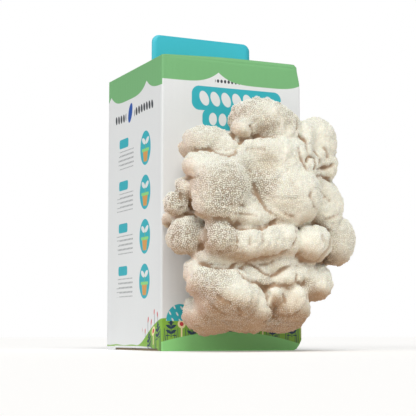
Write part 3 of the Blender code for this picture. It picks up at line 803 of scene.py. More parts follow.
def grow_lobes():
    """Each cluster's lobes grown together on their own, then all of the clusters in one skin."""
    all_points, all_faces, count = [], [], 0
    ball = ball_faces(LOBE_RINGS, LOBE_COLUMNS)
    for smoothing, lobes in CLUSTERS.values():
        points = np.concatenate([lobe_points(lobe) for lobe in lobes])
        each = len(points) // len(lobes)
        faces = np.concatenate([ball + each * number for number in range(len(lobes))])
        grown = grown_mesh(fill_mesh("cluster", points, faces), CLUSTER_CELL, smoothing)
        points = read_points(grown)
        all_points.append(points)
        all_faces.append(read_quads(grown) + count)
        count += len(points)
        bpy.data.meshes.remove(grown)
    joined = fill_mesh("growth", np.concatenate(all_points), np.concatenate(all_faces))
    mesh = grown_mesh(joined, SKIN_CELL, 0)
    mesh.name = "fungus_skin"
    return mesh


def soften(mesh, net):
    """Smooth the skin twice by half, then fill the deep gaps between its lobes a little."""
    points = read_points(mesh)
    for _ in range(2):
        points = 0.5 * points + 0.5 * net.average(points)
    write_points(mesh, points)
    normals = read_normals(mesh)
    gap = net.hollowness(points, normals, GAP_ROUNDS)
    points += normals * (GAP_FILLING * np.clip(gap - GAP_LEAST, 0.0, GAP_MOST))[:, None]
    write_points(mesh, points)
    return points


def relief(points):
    """The height of the lumps, and how strongly painted shade darkens the narrow valleys between
    billows.
    """
    height = sum(tall * smooth_noise(points, size, seed) for tall, size, seed in LUMPS)
    tall, size, seed, steep = BROAD_BILLOWS
    broad = smooth_noise(points * np.array([1.0, 1.0, 0.75]), size, seed)
    height += tall * (np.minimum(np.abs(broad) * steep, 1.0) - 0.6)
    tall, size, seed, steep = FINE_BILLOWS
    fine = smooth_noise(points, size, seed)
    height += tall * (np.minimum(np.abs(fine) * steep, 1.0) - 0.6)

    patchy = ramp(smooth_noise(points, *PATCH), -0.35, 0.35)
    tall, size, seed = BROAD_PILLOWS
    height += tall * patchy * (pillows(points, size, seed) - 0.7)
    tall, size, seed = FINE_PILLOWS
    upright = pillows(points * np.array([1.3, 1.0, 0.7]), size, seed)
    height += tall * (1.0 - 0.4 * patchy) * (upright - 0.7)
    tall, size, seed = SIDE_PILLOWS
    beside = ramp(points[:, 1] - FRONT, -SIDE_FRONT, -SIDE_REAR)
    height += tall * beside * (pillows(points, size, seed) - 0.75)

    # Painted shade for the narrow valleys between billows: how dark the material paints them.
    valley_shade = np.maximum(np.exp(-(broad / 0.05) ** 2), 0.7 * np.exp(-(fine / 0.06) ** 2))
    return height, 0.30 * valley_shade * (0.3 + 0.7 * patchy)


def tooth_strength(points, crease, downward):
    """How long the teeth are, from 0 to 1: e^(-0.7 d^3) at d reaches from the middle of a toothy
    patch, some all over the sides, a little everywhere else, and less in creases and below."""
    place = panel_place(points)
    strength = np.full(len(points), TOOTH_BASE)
    for *middle, reach, full in TOOTHY:
        apart = np.linalg.norm(place - middle, axis=1) / reach
        strength = np.maximum(strength, full * np.exp(-0.7 * apart ** 3))
    beside = ramp(points[:, 1] - FRONT, -SIDE_FRONT, -30 * MM)
    strength = np.maximum(strength, beside * (0.45 + 0.45 * smooth_noise(points, *TOOTH_PATCHES)))
    strength += 0.14 * smooth_noise(points, *TOOTH_SPECKS)
    strength *= 1.0 - 0.5 * ramp(crease, 0.1 * MM, 0.5 * MM) - 0.35 * ramp(downward, 0.35, 0.85)
    return np.clip(strength, 0.06, 1.0)


def make_skin_mesh():
    """The fungus's skin: lobes grown together, then lumps, creases and wrinkles, and on each
    point the numbers that its colours and its teeth are worked out from."""
    mesh = grow_lobes()
    net = Net(mesh)
    points = soften(mesh, net)
    normals = read_normals(mesh)
    crease = net.hollowness(points, normals, 5)
    hollow = ramp(net.hollowness(points, normals, 40), -0.4 * MM, 3.0 * MM)
    lumps, valley_shade = relief(points)
    lumps *= 1.0 - 0.65 * ramp(crease, 0.0, 0.35 * MM)
    wrinkle = wrinkle_depth(panel_place(points))
    deepen = np.clip(crease, 0.0, CREASE_MOST) * CREASE_DEPTH + wrinkle * MM
    points = press_on_panel(points + normals * (lumps - deepen)[:, None])
    write_points(mesh, points)

    # Painted shade in the creases, wrinkles and narrow valleys: the crease number says how dark the
    # material paints them.
    narrow = net.hollowness(points, read_normals(mesh), 3)
    crease_shade = np.maximum(ramp(crease, 0.12 * MM, 0.6 * MM), 0.75 * np.minimum(wrinkle / 1.4, 1.0))
    crease_shade = 0.85 * crease_shade + 0.4 * ramp(narrow, 0.10 * MM, 0.45 * MM) * ramp(crease_shade, 0.1, 0.5)
    set_attribute(mesh, "crease", np.maximum(crease_shade, valley_shade))
    set_attribute(mesh, "hollow", hollow)
    facing = net.average(normals, 12)
    facing /= np.linalg.norm(facing, axis=1)[:, None]
    upward, leftward = facing[:, 2], -facing[:, 0]
    set_attribute(mesh, "upward", upward)
    set_attribute(mesh, "leftward", leftward)
    # Painted shade: how far the flesh is painted tan and brown where it faces down or left, lies in a
    # hollow or sits low. On the undersides it also stands for the flesh's own tan.
    below = 0.30 * hollow - 1.15 * upward - 0.55
    below += 0.40 * np.maximum(leftward, 0.0) + 0.55 * ramp(-points[:, 2], -85 * MM, -20 * MM)
    set_attribute(mesh, "below", below)
    set_attribute(mesh, "grain", tooth_strength(points, crease, -upward))
    shade_smooth(mesh)
    return mesh


# ------------------------------------------------------------------ fungus: its teeth

TOOTH_SIDES = 4
TOOTH_PARTS = ("top", "upper", "lower", "foot")
TOOTH_LEVELS = np.array([0.0, 0.66])        # share of the length at which a tooth has a ring
TOOTH_SUNK = 0.35 * MM                      # how far its foot is inside the skin
TOOTH_SHIFT = 0.10 * MM                     # random shift of its foot
TOOTH_LEAN = 0.16                           # random lean
TOOTH_DROOP = np.array([0.0, 0.0, -0.22])   # lean downwards
TOOTH_SEED = 12
TOOTH_CLEAR = 2.0 * MM                      # no tooth is this close to the panel
SKIN_NUMBERS = ("crease", "hollow", "upward", "leftward", "below", "grain")


def spaced_points(priority, pairs):
    """Points picked by priority so that no two of them are a pair."""
    state = np.zeros(len(priority), np.int8)        # 0 open, 1 picked, 2 passed over
    first, second = pairs.T
    for _ in range(8):
        best = np.zeros(len(priority))
        value = np.where(state == 0, priority, 0.0)
        np.maximum.at(best, first, value[second])
        np.maximum.at(best, second, value[first])
        state[(state == 0) & (value > best)] = 1
        beside = np.zeros(len(priority), bool)
        np.logical_or.at(beside, second, state[first] == 1)
        np.logical_or.at(beside, first, state[second] == 1)
        state[(state == 0) & beside] = 2
    return np.flatnonzero(state == 1)


def tooth_shapes(foot, normal, strength, rng):
    """The points of each tooth, foot first, as one array. On a tooth of length h and foot radius
    r the ring at height w is r (1 - w^2.6) wide about the axis, which leans downwards."""
    count = len(foot)
    axis = normal + rng.normal(0.0, TOOTH_LEAN, (count, 3)) + TOOTH_DROOP
    axis /= np.linalg.norm(axis, axis=1)[:, None]
    side = np.cross(axis, np.array([0.31, 0.52, 0.79]))
    side /= np.linalg.norm(side, axis=1)[:, None]
    other = np.cross(axis, side)
    length = (0.75 + 0.35 * rng.random(count)) * (0.14 + 0.96 * strength) * MM + TOOTH_SUNK
    radius = (0.62 + 0.14 * rng.random(count)) * MM
    foot = foot - axis * TOOTH_SUNK + rng.normal(0.0, TOOTH_SHIFT, (count, 3))

    angle = np.linspace(0, 2 * math.pi, TOOTH_SIDES, endpoint=False)
    ring = np.cos(angle)[None, :, None] * side[:, None] + np.sin(angle)[None, :, None] * other[:, None]
    levels = []
    for level in TOOTH_LEVELS:
        middle = foot + axis * (length * level)[:, None]
        levels.append(middle[:, None] + ring * ((1.0 - level ** 2.6) * radius)[:, None, None])
    levels.append((foot + axis * length[:, None])[:, None])
    return np.concatenate(levels, axis=1)


def tooth_faces():
    """Triangles of one tooth: its walls, its pointed top and its foot."""
    loop = np.arange(TOOTH_SIDES)
    last = (len(TOOTH_LEVELS) - 1) * TOOTH_SIDES
    tip = np.full(TOOTH_SIDES, last + TOOTH_SIDES)
    walls = grid_faces(len(TOOTH_LEVELS), TOOTH_SIDES, closed=True)
    return np.concatenate([
        walls[:, [0, 1, 2]],
        walls[:, [0, 2, 3]],
        np.stack([last + loop, last + (loop + 1) % TOOTH_SIDES, tip], axis=1),
        np.array([[0, 2, 1], [0, 3, 2]]),
    ])


def make_tooth_meshes(skin):
    """Short blunt teeth all over the open skin, on well spaced corners and middles of its faces,
    in pieces from the top of the fungus to its foot."""
    quads = read_quads(skin)

    def with_middles(values):
        return np.concatenate([values, values[quads].mean(axis=1)])

    points, normals = with_middles(read_points(skin)), with_middles(read_normals(skin))
    numbers = {name: with_middles(read_attribute(skin, name)) for name in SKIN_NUMBERS}
    middle = np.arange(len(quads)) + len(skin.vertices)
    spokes = np.stack([np.repeat(middle, 4), quads.ravel()], axis=1)
    pairs = np.concatenate([read_edges(skin), spokes])

    rng = np.random.default_rng(TOOTH_SEED)
    chosen = spaced_points(0.1 + rng.random(len(points)), pairs)
    kept = rng.random(len(chosen)) < 0.55 + 1.2 * numbers["grain"][chosen]
    # No teeth where the painted crease shade is strong, so that it shows.
    kept &= numbers["crease"][chosen] < 0.5
    kept &= points[chosen, 1] < FRONT - TOOTH_CLEAR
    chosen = chosen[kept]
    teeth = tooth_shapes(points[chosen], normals[chosen], numbers["grain"][chosen], rng)
    each = teeth.shape[1]
    along = np.concatenate([np.repeat(TOOTH_LEVELS, TOOTH_SIDES), [1.0]])

    height = points[chosen, 2]
    cuts = np.quantile(height, np.linspace(0, 1, len(TOOTH_PARTS) + 1))
    cuts[-1] += MM
    meshes = {}
    for part, low, high in zip(reversed(TOOTH_PARTS), cuts[:-1], cuts[1:]):
        inside = (height >= low) & (height < high)
        number = int(inside.sum())
        shift = (np.arange(number) * each)[:, None, None]
        faces = (tooth_faces()[None] + shift).reshape(-1, 3)
        mesh = fill_mesh("teeth_" + part, teeth[inside].reshape(-1, 3), faces)
        set_attribute(mesh, "along", np.tile(along, number))
        for name, values in numbers.items():
            set_attribute(mesh, name, np.repeat(values[chosen][inside], each))
        shade_smooth(mesh)
        meshes[part] = mesh
    return meshes


# ------------------------------------------------------------------ carton and handle

WIDTH, DEPTH = 2 * HALF_WIDTH, 2 * HALF_DEPTH
AROUND = 2 * (WIDTH + DEPTH)
LEFT_WALL, FRONT_WALL, RIGHT_WALL, REAR_WALL = range(4)
FLAP_BELOW, BEND_BELOW, WALL, BEND_ABOVE, FLAP_ABOVE = range(5)
BOARD = 1.5 * MM
CORNER_RADIUS = 1.5 * MM
FLAP_END = 3.2 * MM             # a top or bottom flap stops this far inside the side walls
FLAP_STEPS = np.linspace(0, 1, 9)[1:] ** 1.6
DUST_FLAP = 40 * MM             # length of the flaps folded in under the two wide ones
DUST_DROP = 1.9 * MM            # how far the folded-in flaps lie inside the carton
FOOT_RADIUS = 1.3 * MM          # bend between the walls and the bottom flaps
TOP_RADIUS = 1.2 * MM           # bend between the side walls and their top flaps
SLIT = (-59 * MM, -55 * MM, 42 * MM, 46 * MM)   # ends of the slit under the left wall
SCORE = HEIGHT - 1.5 * MM       # the line along which the top flaps fold
SCORE_DEPTH = 0.12 * MM
FOLD_START, FOLD_FULL = -20 * MM, 75 * MM       # along the front, where its fold rises
WINDOW_HALF_WIDTH = 32 * MM
WINDOW_FOOT, WINDOW_HEAD = 69 * MM, 155 * MM
WINDOW_CORNER = 9 * MM
CORNER_STEPS = np.array([0.0, 0.5, 1.0]) * WINDOW_CORNER
CRUSH_LOW, CRUSH_HIGH = 8 * MM, 9 * MM          # reach of the crushed corners
BOW = 0.3 * MM                  # how far the walls are out of flat
TAB_HALF = (TAB_HIGH[0] - TAB_LOW[0]) / 2 * 98 / 122
TAB_CORNER = 7 * MM
TAB_THICKNESS = 1.2 * MM


def clear_of(places, marks, apart):
    """The places that are at least that far from every mark."""
    return places[np.abs(places[:, None] - np.asarray(marks)).min(axis=1, initial=1.0) > apart]


def side_columns(length, marks=()):
    """Places along one wall: close together at its corners, even between, and at the marks."""
    ends = np.concatenate([np.linspace(0.0, CORNER_RADIUS, 4), [FLAP_END]])
    inner = np.linspace(FLAP_END, length - FLAP_END, 28)[1:-1]
    inner = clear_of(inner, marks, 1.4 * MM)
    return np.sort(np.concatenate([ends, inner, marks, length - ends[1:]]))


def carton_columns():
    """Places round the four walls, from the rear left corner: the near corner is at 0."""
    window = WIDTH / 2 - WINDOW_HALF_WIDTH + CORNER_STEPS
    walls = [
        side_columns(DEPTH, HALF_DEPTH - np.array(SLIT)) - DEPTH,
        side_columns(WIDTH, np.concatenate([window, WIDTH - window])),
        side_columns(DEPTH) + WIDTH,
        side_columns(WIDTH) + WIDTH + DEPTH,
    ]
    return np.concatenate([wall[:-1] for wall in walls])


def walls_round(along):
    """The outer wall as a function of the distance along it from the near corner: its place on
    the floor, the way out of it, how far it is from a corner, and which wall it is."""
    starts = np.array([-DEPTH, 0.0, WIDTH, WIDTH + DEPTH, WIDTH + DEPTH + WIDTH])
    corners = np.array([(-1, 1), (-1, -1), (1, -1), (1, 1), (-1, 1)]) * (HALF_WIDTH, HALF_DEPTH)
    side = np.clip(np.searchsorted(starts, along, side="right") - 1, LEFT_WALL, REAR_WALL)
    way = corners[side + 1] - corners[side]
    way = way / np.linalg.norm(way, axis=1)[:, None]
    place = corners[side] + way * (along - starts[side])[:, None]
    out = np.stack([way[:, 1], -way[:, 0]], axis=1)

    nearest = np.abs(along[:, None] - starts).argmin(axis=1)
    offset = along - starts[nearest]
    away = np.abs(offset)
    turning = away < CORNER_RADIUS
    corner = corners[nearest]
    centre = corner - np.sign(corner) * CORNER_RADIUS
    angle = np.arctan2(corner[:, 1], corner[:, 0])
    angle = np.round((angle - math.pi / 4) / (math.pi / 2)) * (math.pi / 2) + math.pi / 4
    angle = angle + offset / CORNER_RADIUS * math.pi / 4
    round_out = np.stack([np.cos(angle), np.sin(angle)], axis=1)
    place = np.where(turning[:, None], centre + CORNER_RADIUS * round_out, place)
    out = np.where(turning[:, None], round_out, out)
    return place, out, away, side


def wall_levels():
    """Heights of the rows on the walls: even, and at the window's edges and round corners."""
    window = np.concatenate([WINDOW_FOOT + CORNER_STEPS, WINDOW_HEAD - CORNER_STEPS])
    even = clear_of(np.linspace(4 * MM, 246 * MM, 49), window, 1.6 * MM)
    return np.sort(np.concatenate([even, window]))


def board_profile(along, place, side, flapped):
    """The rows of the sheet from the edge of a bottom flap to the edge of a top flap: how far
    each is inside the wall, how high, where on the flat sheet, and in which part of it. Each
    bend is a quarter circle over its angle t, r (1 - cos t) or r (1 - sin t) inside the wall."""
    wide = (side == FRONT_WALL) | (side == REAR_WALL)
    ahead = side == FRONT_WALL

    # The front flap's fold rises towards the right, above a score line
    rise = np.where(ahead, FOLD_RISE * ramp(along, FOLD_START, FOLD_FULL), 0.3 * MM)
    rise = np.where(wide & flapped, rise, np.where(ahead, rise * 0.25, 0.0))
    radius = np.where(wide, 1.5 * MM + 0.5 * rise, TOP_RADIUS)
    beside_tab = np.abs(place[:, 0]) < TAB_HALF + 1.5 * MM
    reach = np.where(wide, HALF_DEPTH - np.where(beside_tab, 0.9 * MM, 0.5 * MM), DUST_FLAP)
    reach = np.where(flapped, reach, radius)
    slit = ramp(place[:, 1], SLIT[0], SLIT[1]) * (1 - ramp(place[:, 1], SLIT[2], SLIT[3]))
    foot = np.where(side == LEFT_WALL, DUST_DROP * slit, 0.0)
    rows = []
    for step in FLAP_STEPS[::-1]:
        distance = FOOT_RADIUS + (np.where(flapped, reach, FOOT_RADIUS) - FOOT_RADIUS) * step
        drop = np.where(wide, 0.0, DUST_DROP * ramp(distance, 0.9 * MM, 3.0 * MM))
        rows.append((distance, foot + drop, -distance, FLAP_BELOW))
    for turn in np.linspace(0, math.pi / 2, 4):
        inward = np.where(flapped, FOOT_RADIUS * (1 - math.sin(turn)), 0.0)
        height = foot + FOOT_RADIUS * (1 - math.cos(turn))
        rows.append((inward, height, FOOT_RADIUS * math.sin(turn) * 0.5, BEND_BELOW))
    for level in wall_levels():
        rows.append((0.0, level, level, WALL))
    for below, depth in ((0.9 * MM, 0.0), (0.45 * MM, 0.25), (0.0, 1.0)):
        groove = np.where(wide & flapped, depth * (SCORE_DEPTH + 0.16 * rise), 0.0)
        rows.append((groove, SCORE - below, SCORE - below, WALL))
    for turn in np.linspace(0, math.pi / 2, 8)[1:]:
        inward = np.where(flapped, radius * (1 - math.cos(turn)), 0.0)
        level = SCORE + (HEIGHT + rise - SCORE) * math.sin(turn)
        cut = np.where(flapped, 0.0, 0.4 * MM * math.sin(turn))
        rows.append((inward, level - cut, level, BEND_ABOVE))
    for step in FLAP_STEPS:
        distance = radius + (reach - radius) * step
        drop = DUST_DROP * ramp(distance, 0.9 * MM, 3.0 * MM)
        lift = np.where(wide, rise * (1 - ramp(distance, radius, HALF_DEPTH)), -drop)
        rows.append((distance, HEIGHT + lift, HEIGHT + distance, FLAP_ABOVE))

    inward, height, unrolled = (
        np.array([np.broadcast_to(row[number], along.shape) for row in rows]) for number in range(3)
    )
    return inward, height, unrolled, np.array([row[3] for row in rows])


def round_window(points, on_front):
    """Move the points at the window's corners on to quarter circles."""
    for side in (-1, 1):
        for way, edge in ((-1, WINDOW_FOOT), (1, WINDOW_HEAD)):
            middle_x = side * (WINDOW_HALF_WIDTH - WINDOW_CORNER)
            middle_z = edge - way * WINDOW_CORNER
            dx = (points[..., 0] - middle_x) * side / WINDOW_CORNER
            dz = (points[..., 2] - middle_z) * way / WINDOW_CORNER
            on = on_front & (np.abs(np.maximum(dx, dz) - 1) < 1e-3) & (dx > -1e-3) & (dz > -1e-3)
            turn = np.where(dx >= dz, dz, 2 - dx) * math.pi / 4
            edge_x = middle_x + side * WINDOW_CORNER * np.cos(turn)
            edge_z = middle_z + way * WINDOW_CORNER * np.sin(turn)
            points[..., 0] = np.where(on, edge_x, points[..., 0])
            points[..., 2] = np.where(on, edge_z, points[..., 2])


def crush_corners(points):
    """Handling has crushed the two right-hand front corners a little, low down and at the top."""
    dx = HALF_WIDTH - points[..., 0]
    dy = points[..., 1] - FRONT
    low = np.clip(1 - (dx + dy * 0.4 + points[..., 2]) / CRUSH_LOW, 0, 1)
    high = np.clip(1 - (dx + dy * 0.3) / CRUSH_HIGH, 0, 1)
    high *= ramp(points[..., 2], 232 * MM, HEIGHT)
    points[..., 0] -= 4.0 * MM * low + 2.6 * MM * high
    points[..., 1] += 2.0 * MM * low + 0.8 * MM * high
    points[..., 2] += 1.5 * MM * low * (points[..., 2] < 6 * MM)


def make_carton_mesh():
    """The folded carton: the sheet's profile carried round the four walls, with the window left
    out. Near the corners the flaps are left out too."""
    along = carton_columns()
    place, out, away, side = walls_round(along)
    flapped = away > FLAP_END - 0.01 * MM
    inward, height, unrolled, part = board_profile(along, place, side, flapped)
    rows, columns = inward.shape
    flat = place[None] - out[None] * inward[..., None]
    points = np.concatenate([flat, height[..., None]], axis=2)
    on_wall = (part == WALL)[:, None]
    round_window(points, on_wall & (side == FRONT_WALL))
    crush_corners(points)
    bow = BOW * smooth_noise(points.reshape(-1, 3), 60 * MM, 31).reshape(rows, columns)
    bow = bow * np.where(on_wall, ramp(away, 2 * MM, 20 * MM), 0.0)
    points[..., :2] += out[None] * bow[..., None]
    points = points.reshape(-1, 3)

    faces = grid_faces(rows, columns, closed=True)
    row, column = np.divmod(faces[:, 0], columns)
    after = (column + 1) % columns
    bare = (part[row] == FLAP_BELOW) | (part[row + 1] == FLAP_ABOVE)
    bare &= ~(flapped[column] & flapped[after])
    middle = points[faces].mean(axis=1)
    hole = (side[column] == FRONT_WALL) & (part[row] == WALL)
    hole &= np.abs(middle[:, 0]) < WINDOW_HALF_WIDTH
    hole &= (middle[:, 2] > WINDOW_FOOT) & (middle[:, 2] < WINDOW_HEAD)
    kept = ~(bare | hole)
    faces, column, after = faces[kept], column[kept], after[kept]

    # The print's place: the distance round the carton and the height on the unfolded sheet
    end = np.where(after < column, along[0] + AROUND, along[after])
    u = np.stack([along[column], end, end, along[column]], axis=1)
    v = unrolled.reshape(-1)[faces]
    used = np.unique(faces)
    renumber = np.full(rows * columns, -1)
    renumber[used] = np.arange(len(used))
    mesh = fill_mesh("carton_board", points[used], renumber[faces])
    layer = mesh.uv_layers.new(name="print")
    layer.data.foreach_set("uv", np.stack([u, v], axis=2).astype(np.float32).ravel())
    shade_smooth(mesh)
    return mesh


def make_card_mesh():
    """The handle card: a plate over (u, z), as wide at height z as half - r + sqrt(r^2 - d^2)
    in its round upper corners, and wider below the flaps."""
    under = HEIGHT - BOARD - 0.3 * MM
    turn = np.linspace(0, math.pi / 2, 9)
    levels = [TAB_LOW[2], under - 20 * MM, under, under + 0.3 * MM, HEIGHT + 4 * MM, HEIGHT + 14 * MM]
    shoulder = (TAB_HIGH[0] - TAB_LOW[0]) / 2
    widths = [shoulder, shoulder, shoulder, TAB_HALF, TAB_HALF, TAB_HALF]
    levels = np.concatenate([levels, TAB_HIGH[2] - TAB_CORNER + TAB_CORNER * np.sin(turn)])
    widths = np.concatenate([widths, TAB_HALF - TAB_CORNER + TAB_CORNER * np.cos(turn)])
    u = np.linspace(-1, 1, 21)
    x = (TAB_LOW[0] + TAB_HIGH[0]) / 2 + widths[:, None] * u
    z = np.repeat(levels[:, None], len(u), axis=1)
    y = 0.25 * MM * ramp(z, HEIGHT, TAB_HIGH[2]) * np.sin(u * 2.1 + 0.4)
    points = np.stack([x, y, z], axis=-1).reshape(-1, 3)
    mesh = fill_mesh("handle_card", points, grid_faces(len(levels), len(u)))
    shade_smooth(mesh)
    return mesh


def thicken(piece, thickness, offset, rim_slot):
    """Give a surface the thickness of its board."""
    solid = piece.modifiers.new("board", "SOLIDIFY")
    solid.thickness = thickness
    solid.offset = offset
    solid.use_even_offset = False
    solid.material_offset = rim_slot
    solid.material_offset_rim = rim_slot


# ------------------------------------------------------------------ shader arithmetic

class Field:
    """A number that shader nodes work out at each point of a surface."""

    def __init__(self, tree, socket):
        self.tree, self.socket = tree, socket

    def math(self, operation, *others):
        """The result of one operation on this number and the others."""
        node = self.tree.nodes.new("ShaderNodeMath")
        node.operation = operation
        self.tree.links.new(self.socket, node.inputs[0])
        for slot, other in zip(node.inputs[1:], others):
            if isinstance(other, Field):
                self.tree.links.new(other.socket, slot)
            else:
                slot.default_value = other
        return Field(self.tree, node.outputs[0])

    def __add__(self, other):
        return self.math("ADD", other)

    def __sub__(self, other):
        return self.math("SUBTRACT", other)

    def __mul__(self, other):
        return self.math("MULTIPLY", other)

    def __truediv__(self, other):
        return self.math("DIVIDE", other)

    def __neg__(self):
        return self.math("MULTIPLY", -1.0)

    def __abs__(self):
        return self.math("ABSOLUTE")

    def sin(self):
        return self.math("SINE")

    def least(self, other):
        return self.math("MINIMUM", other)

    def most(self, other):
        return self.math("MAXIMUM", other)

    def over(self, other):
        return self.math("GREATER_THAN", other)

    def under(self, other):
        return self.math("LESS_THAN", other)

    def wrap(self, low, high):
        return self.math("WRAP", high, low)

    def length(self, other):
        """The square root of x^2 + y^2."""
        return (self * self + other * other).math("SQRT")

    def inside(self, soft=0.25):
        """1 where a distance is below zero and 0 where it is above, with a soft edge."""
        share = self * (-1.0 / soft) + 0.5
        share.socket.node.use_clamp = True
        return share


def clamp01(field):
    """The number, kept between 0 and 1."""
    field = field + 0.0
    field.socket.node.use_clamp = True
    return field


def to_linear(colour):
    """Linear red, green and blue from the usual 0 to 255 values."""
    value = np.array(colour) / 255.0
    value = np.where(value > 0.04045, ((value + 0.055) / 1.055) ** 2.4, value / 12.92)
    return (*value.tolist(), 1.0)


def new_material(name, roughness):
    """A material with its node tree and its shader."""
    material = bpy.data.materials.new(name)
    material.use_nodes = True
    tree = material.node_tree
    shader = tree.nodes["Principled BSDF"]
    shader.inputs["Roughness"].default_value = roughness
    return material, tree, shader


def paint(tree, below, colour, amount, blend="MIX"):
    """Lay a colour over another as far as the amount says."""
    mix = tree.nodes.new("ShaderNodeMix")
    mix.data_type = "RGBA"
    mix.blend_type = blend
    for slot, value in ((mix.inputs[6], below), (mix.inputs[7], colour)):
        if isinstance(value, tuple):
            slot.default_value = value
        else:
            tree.links.new(value, slot)
    if isinstance(amount, Field):
        tree.links.new(amount.socket, mix.inputs[0])
    else:
        mix.inputs[0].default_value = amount
    return mix.outputs[2]


def noise(tree, vector, scale, detail):
    """Soft random spots, from 0 to 1: the larger the scale, the smaller they are."""
    node = tree.nodes.new("ShaderNodeTexNoise")
    node.inputs["Scale"].default_value = scale
    node.inputs["Detail"].default_value = detail
    tree.links.new(vector, node.inputs["Vector"])
    return Field(tree, node.outputs["Fac"])


def object_place(tree):
    """The place of each point in the object, in metres."""
    return tree.nodes.new("ShaderNodeTexCoord").outputs["Object"]


def add_bump(tree, shader, height, distance):
    """Raise the surface by a height field, in metres times the distance."""
    bump = tree.nodes.new("ShaderNodeBump")
    bump.inputs["Distance"].default_value = distance
    tree.links.new(height.socket, bump.inputs["Height"])
    tree.links.new(bump.outputs["Normal"], shader.inputs["Normal"])


def stored(tree, name):
    """A number that the mesh keeps for each point."""
    node = tree.nodes.new("ShaderNodeAttribute")
    node.attribute_name = name
    return Field(tree, node.outputs["Fac"])


# ------------------------------------------------------------------ printed board

WHITE = to_linear((228, 230, 231))
GREEN = to_linear((120, 181, 122))
# A print green, inked lighter than the print as painted light that offsets the fungus's shadow on the
# front hill.
DEEP_GREEN = to_linear((144, 214, 132))
LIME = to_linear((132, 180, 62))
TEAL = to_linear((48, 176, 190))
NAVY = to_linear((36, 58, 84))
RED = to_linear((206, 66, 74))
CREAM = to_linear((242, 226, 178))
CLAY = to_linear((214, 156, 84))
GREY = to_linear((150, 152, 156))
BLUE = to_linear((30, 84, 168))
DARK = to_linear((58, 62, 70))

# Measures of the print, in millimetres
FRONT_SPAN = WIDTH / MM
PRINT_SPAN = (WIDTH + DEPTH) / MM       # a front and a side: from there on the print repeats
SIDE_MIDDLE = (FRONT_SPAN + PRINT_SPAN) / 2
ROWS, ROW_FOOT, ROW_TALL = 4, 40.0, 38.5
ROW_HALF = ROWS * ROW_TALL / 2
SCALLOPS = 3                            # arches of the green top over a front and a side


def oval(x, y, half_width, half_height, tilt=0.0):
    """Distance-like measure of a tilted oval, in millimetres: below zero inside."""
    if tilt:
        angle = math.radians(tilt)
        x, y = x * math.cos(angle) + y * math.sin(angle), y * math.cos(angle) - x * math.sin(angle)
    small = min(half_width, half_height)
    return ((x / half_width).length(y / half_height) - 1.0) * small


def rounded_box(x, y, half_width, half_height, radius):
    """Distance to a rounded box, in millimetres: below zero inside."""
    dx = (abs(x) - (half_width - radius)).most(0.0)
    dy = (abs(y) - (half_height - radius)).most(0.0)
    return dx.length(dy) - radius


def leafy_stem(x, y, height, leaf, gap):
    """A stem from y = 0 up to a height, with paired leaves that point upwards."""
    stem = (abs(x) - 0.35).most(abs(y - height / 2) - height / 2)
    step = (y - gap).wrap(-gap / 2, gap / 2)
    leaves = oval(abs(x) - leaf * 0.72, step - leaf * 0.30, leaf, leaf * 0.40, 42.0)
    in_reach = abs(y - height * 0.55) - height * 0.45
    crown = oval(x, y - height, leaf * 0.40, leaf * 0.95)
    return stem.least(leaves.most(in_reach)).least(crown)


class Sheet:
    """The printed sheet, over u = millimetres round the carton from the near corner and v =
    millimetres up. q is u on the repeating print: the front design, then the side design."""

    def __init__(self, tree):
        uv = tree.nodes.new("ShaderNodeUVMap")
        uv.uv_map = "print"
        split = tree.nodes.new("ShaderNodeSeparateXYZ")
        tree.links.new(uv.outputs[0], split.inputs[0])
        self.tree, self.colour = tree, WHITE
        self.u = Field(tree, split.outputs[0]) * 1000.0
        self.v = Field(tree, split.outputs[1]) * 1000.0
        self.q = self.u.wrap(0.0, PRINT_SPAN)
        self.side = self.q.over(FRONT_SPAN)
        self.front = self.side.under(0.5)

    def ink(self, colour, amount, blend="MIX"):
        """Print one more colour over the sheet as far as the amount says."""
        self.colour = paint(self.tree, self.colour, colour, amount, blend)


def print_ground(sheet):
    """A lime hill over the front, which falls away to a thin line on the sides, with plants."""
    q, v = sheet.q, sheet.v
    ahead = abs((sheet.u - FRONT_SPAN / 2).wrap(-PRINT_SPAN, PRINT_SPAN))
    falling = clamp01((ahead - 64.0) / 58.0)
    falling = falling * falling * (falling * -2.0 + 3.0)
    top = falling * -22.4 + 27.0 + (sheet.u / 6.0).sin() * 0.35
    foot = falling * 4.4 - 1.2
    rise = v - top
    sheet.ink(LIME, rise.most(foot - v).inside(0.4))

    # Tufts of grass and sprigs of leaves, dark on the lime ground
    grassy = top.over(14.0)
    x, y = (q - 4.25).wrap(-4.75, 4.75), rise + 15.0
    reed = abs(x).wrap(-0.75, 0.75) + (y / 4.0).sin() * 0.25
    tuft = (abs(reed) - 0.26).most(abs(x) - 2.1).most(y - 9.0 + abs(x) * 1.8)
    sheet.ink(NAVY, tuft.inside(0.3) * grassy)
    sprig = leafy_stem((q - 9.0).wrap(-9.5, 9.5), rise + 16.0, 12.5, 3.3, 4.2)
    sheet.ink(NAVY, sprig.inside(0.35) * grassy)

    # Round flowers between them
    x, y = (q - 18.5).wrap(-19.0, 19.0), rise + 4.6
    stalk = (abs(x) - 0.7).most(abs(rise + 10.5) - 5.5)
    sheet.ink(CREAM, stalk.inside(0.3) * grassy)
    sheet.ink(CREAM, oval(x, y, 3.6, 3.6).inside(0.3) * grassy)
    sheet.ink(RED, oval(x, y, 1.8, 1.8).inside(0.3) * grassy)

    # Red buds on tall blades along the side's ground
    x = (q - FRONT_SPAN).wrap(-3.4, 3.4) + (v / 3.0 + q / 9.0).sin() * 0.5
    tall = (q / 2.3).sin() * 3.0 + 8.0
    grown = sheet.side * top.over(8.0) * top.under(26.0)
    blade = (abs(x) - 0.32).most(rise - tall).inside(0.3)
    sheet.ink(NAVY, blade * grown * rise.over(0.0))
    sheet.ink(RED, oval(x, rise - tall, 1.0, 2.3).inside(0.3) * grown)


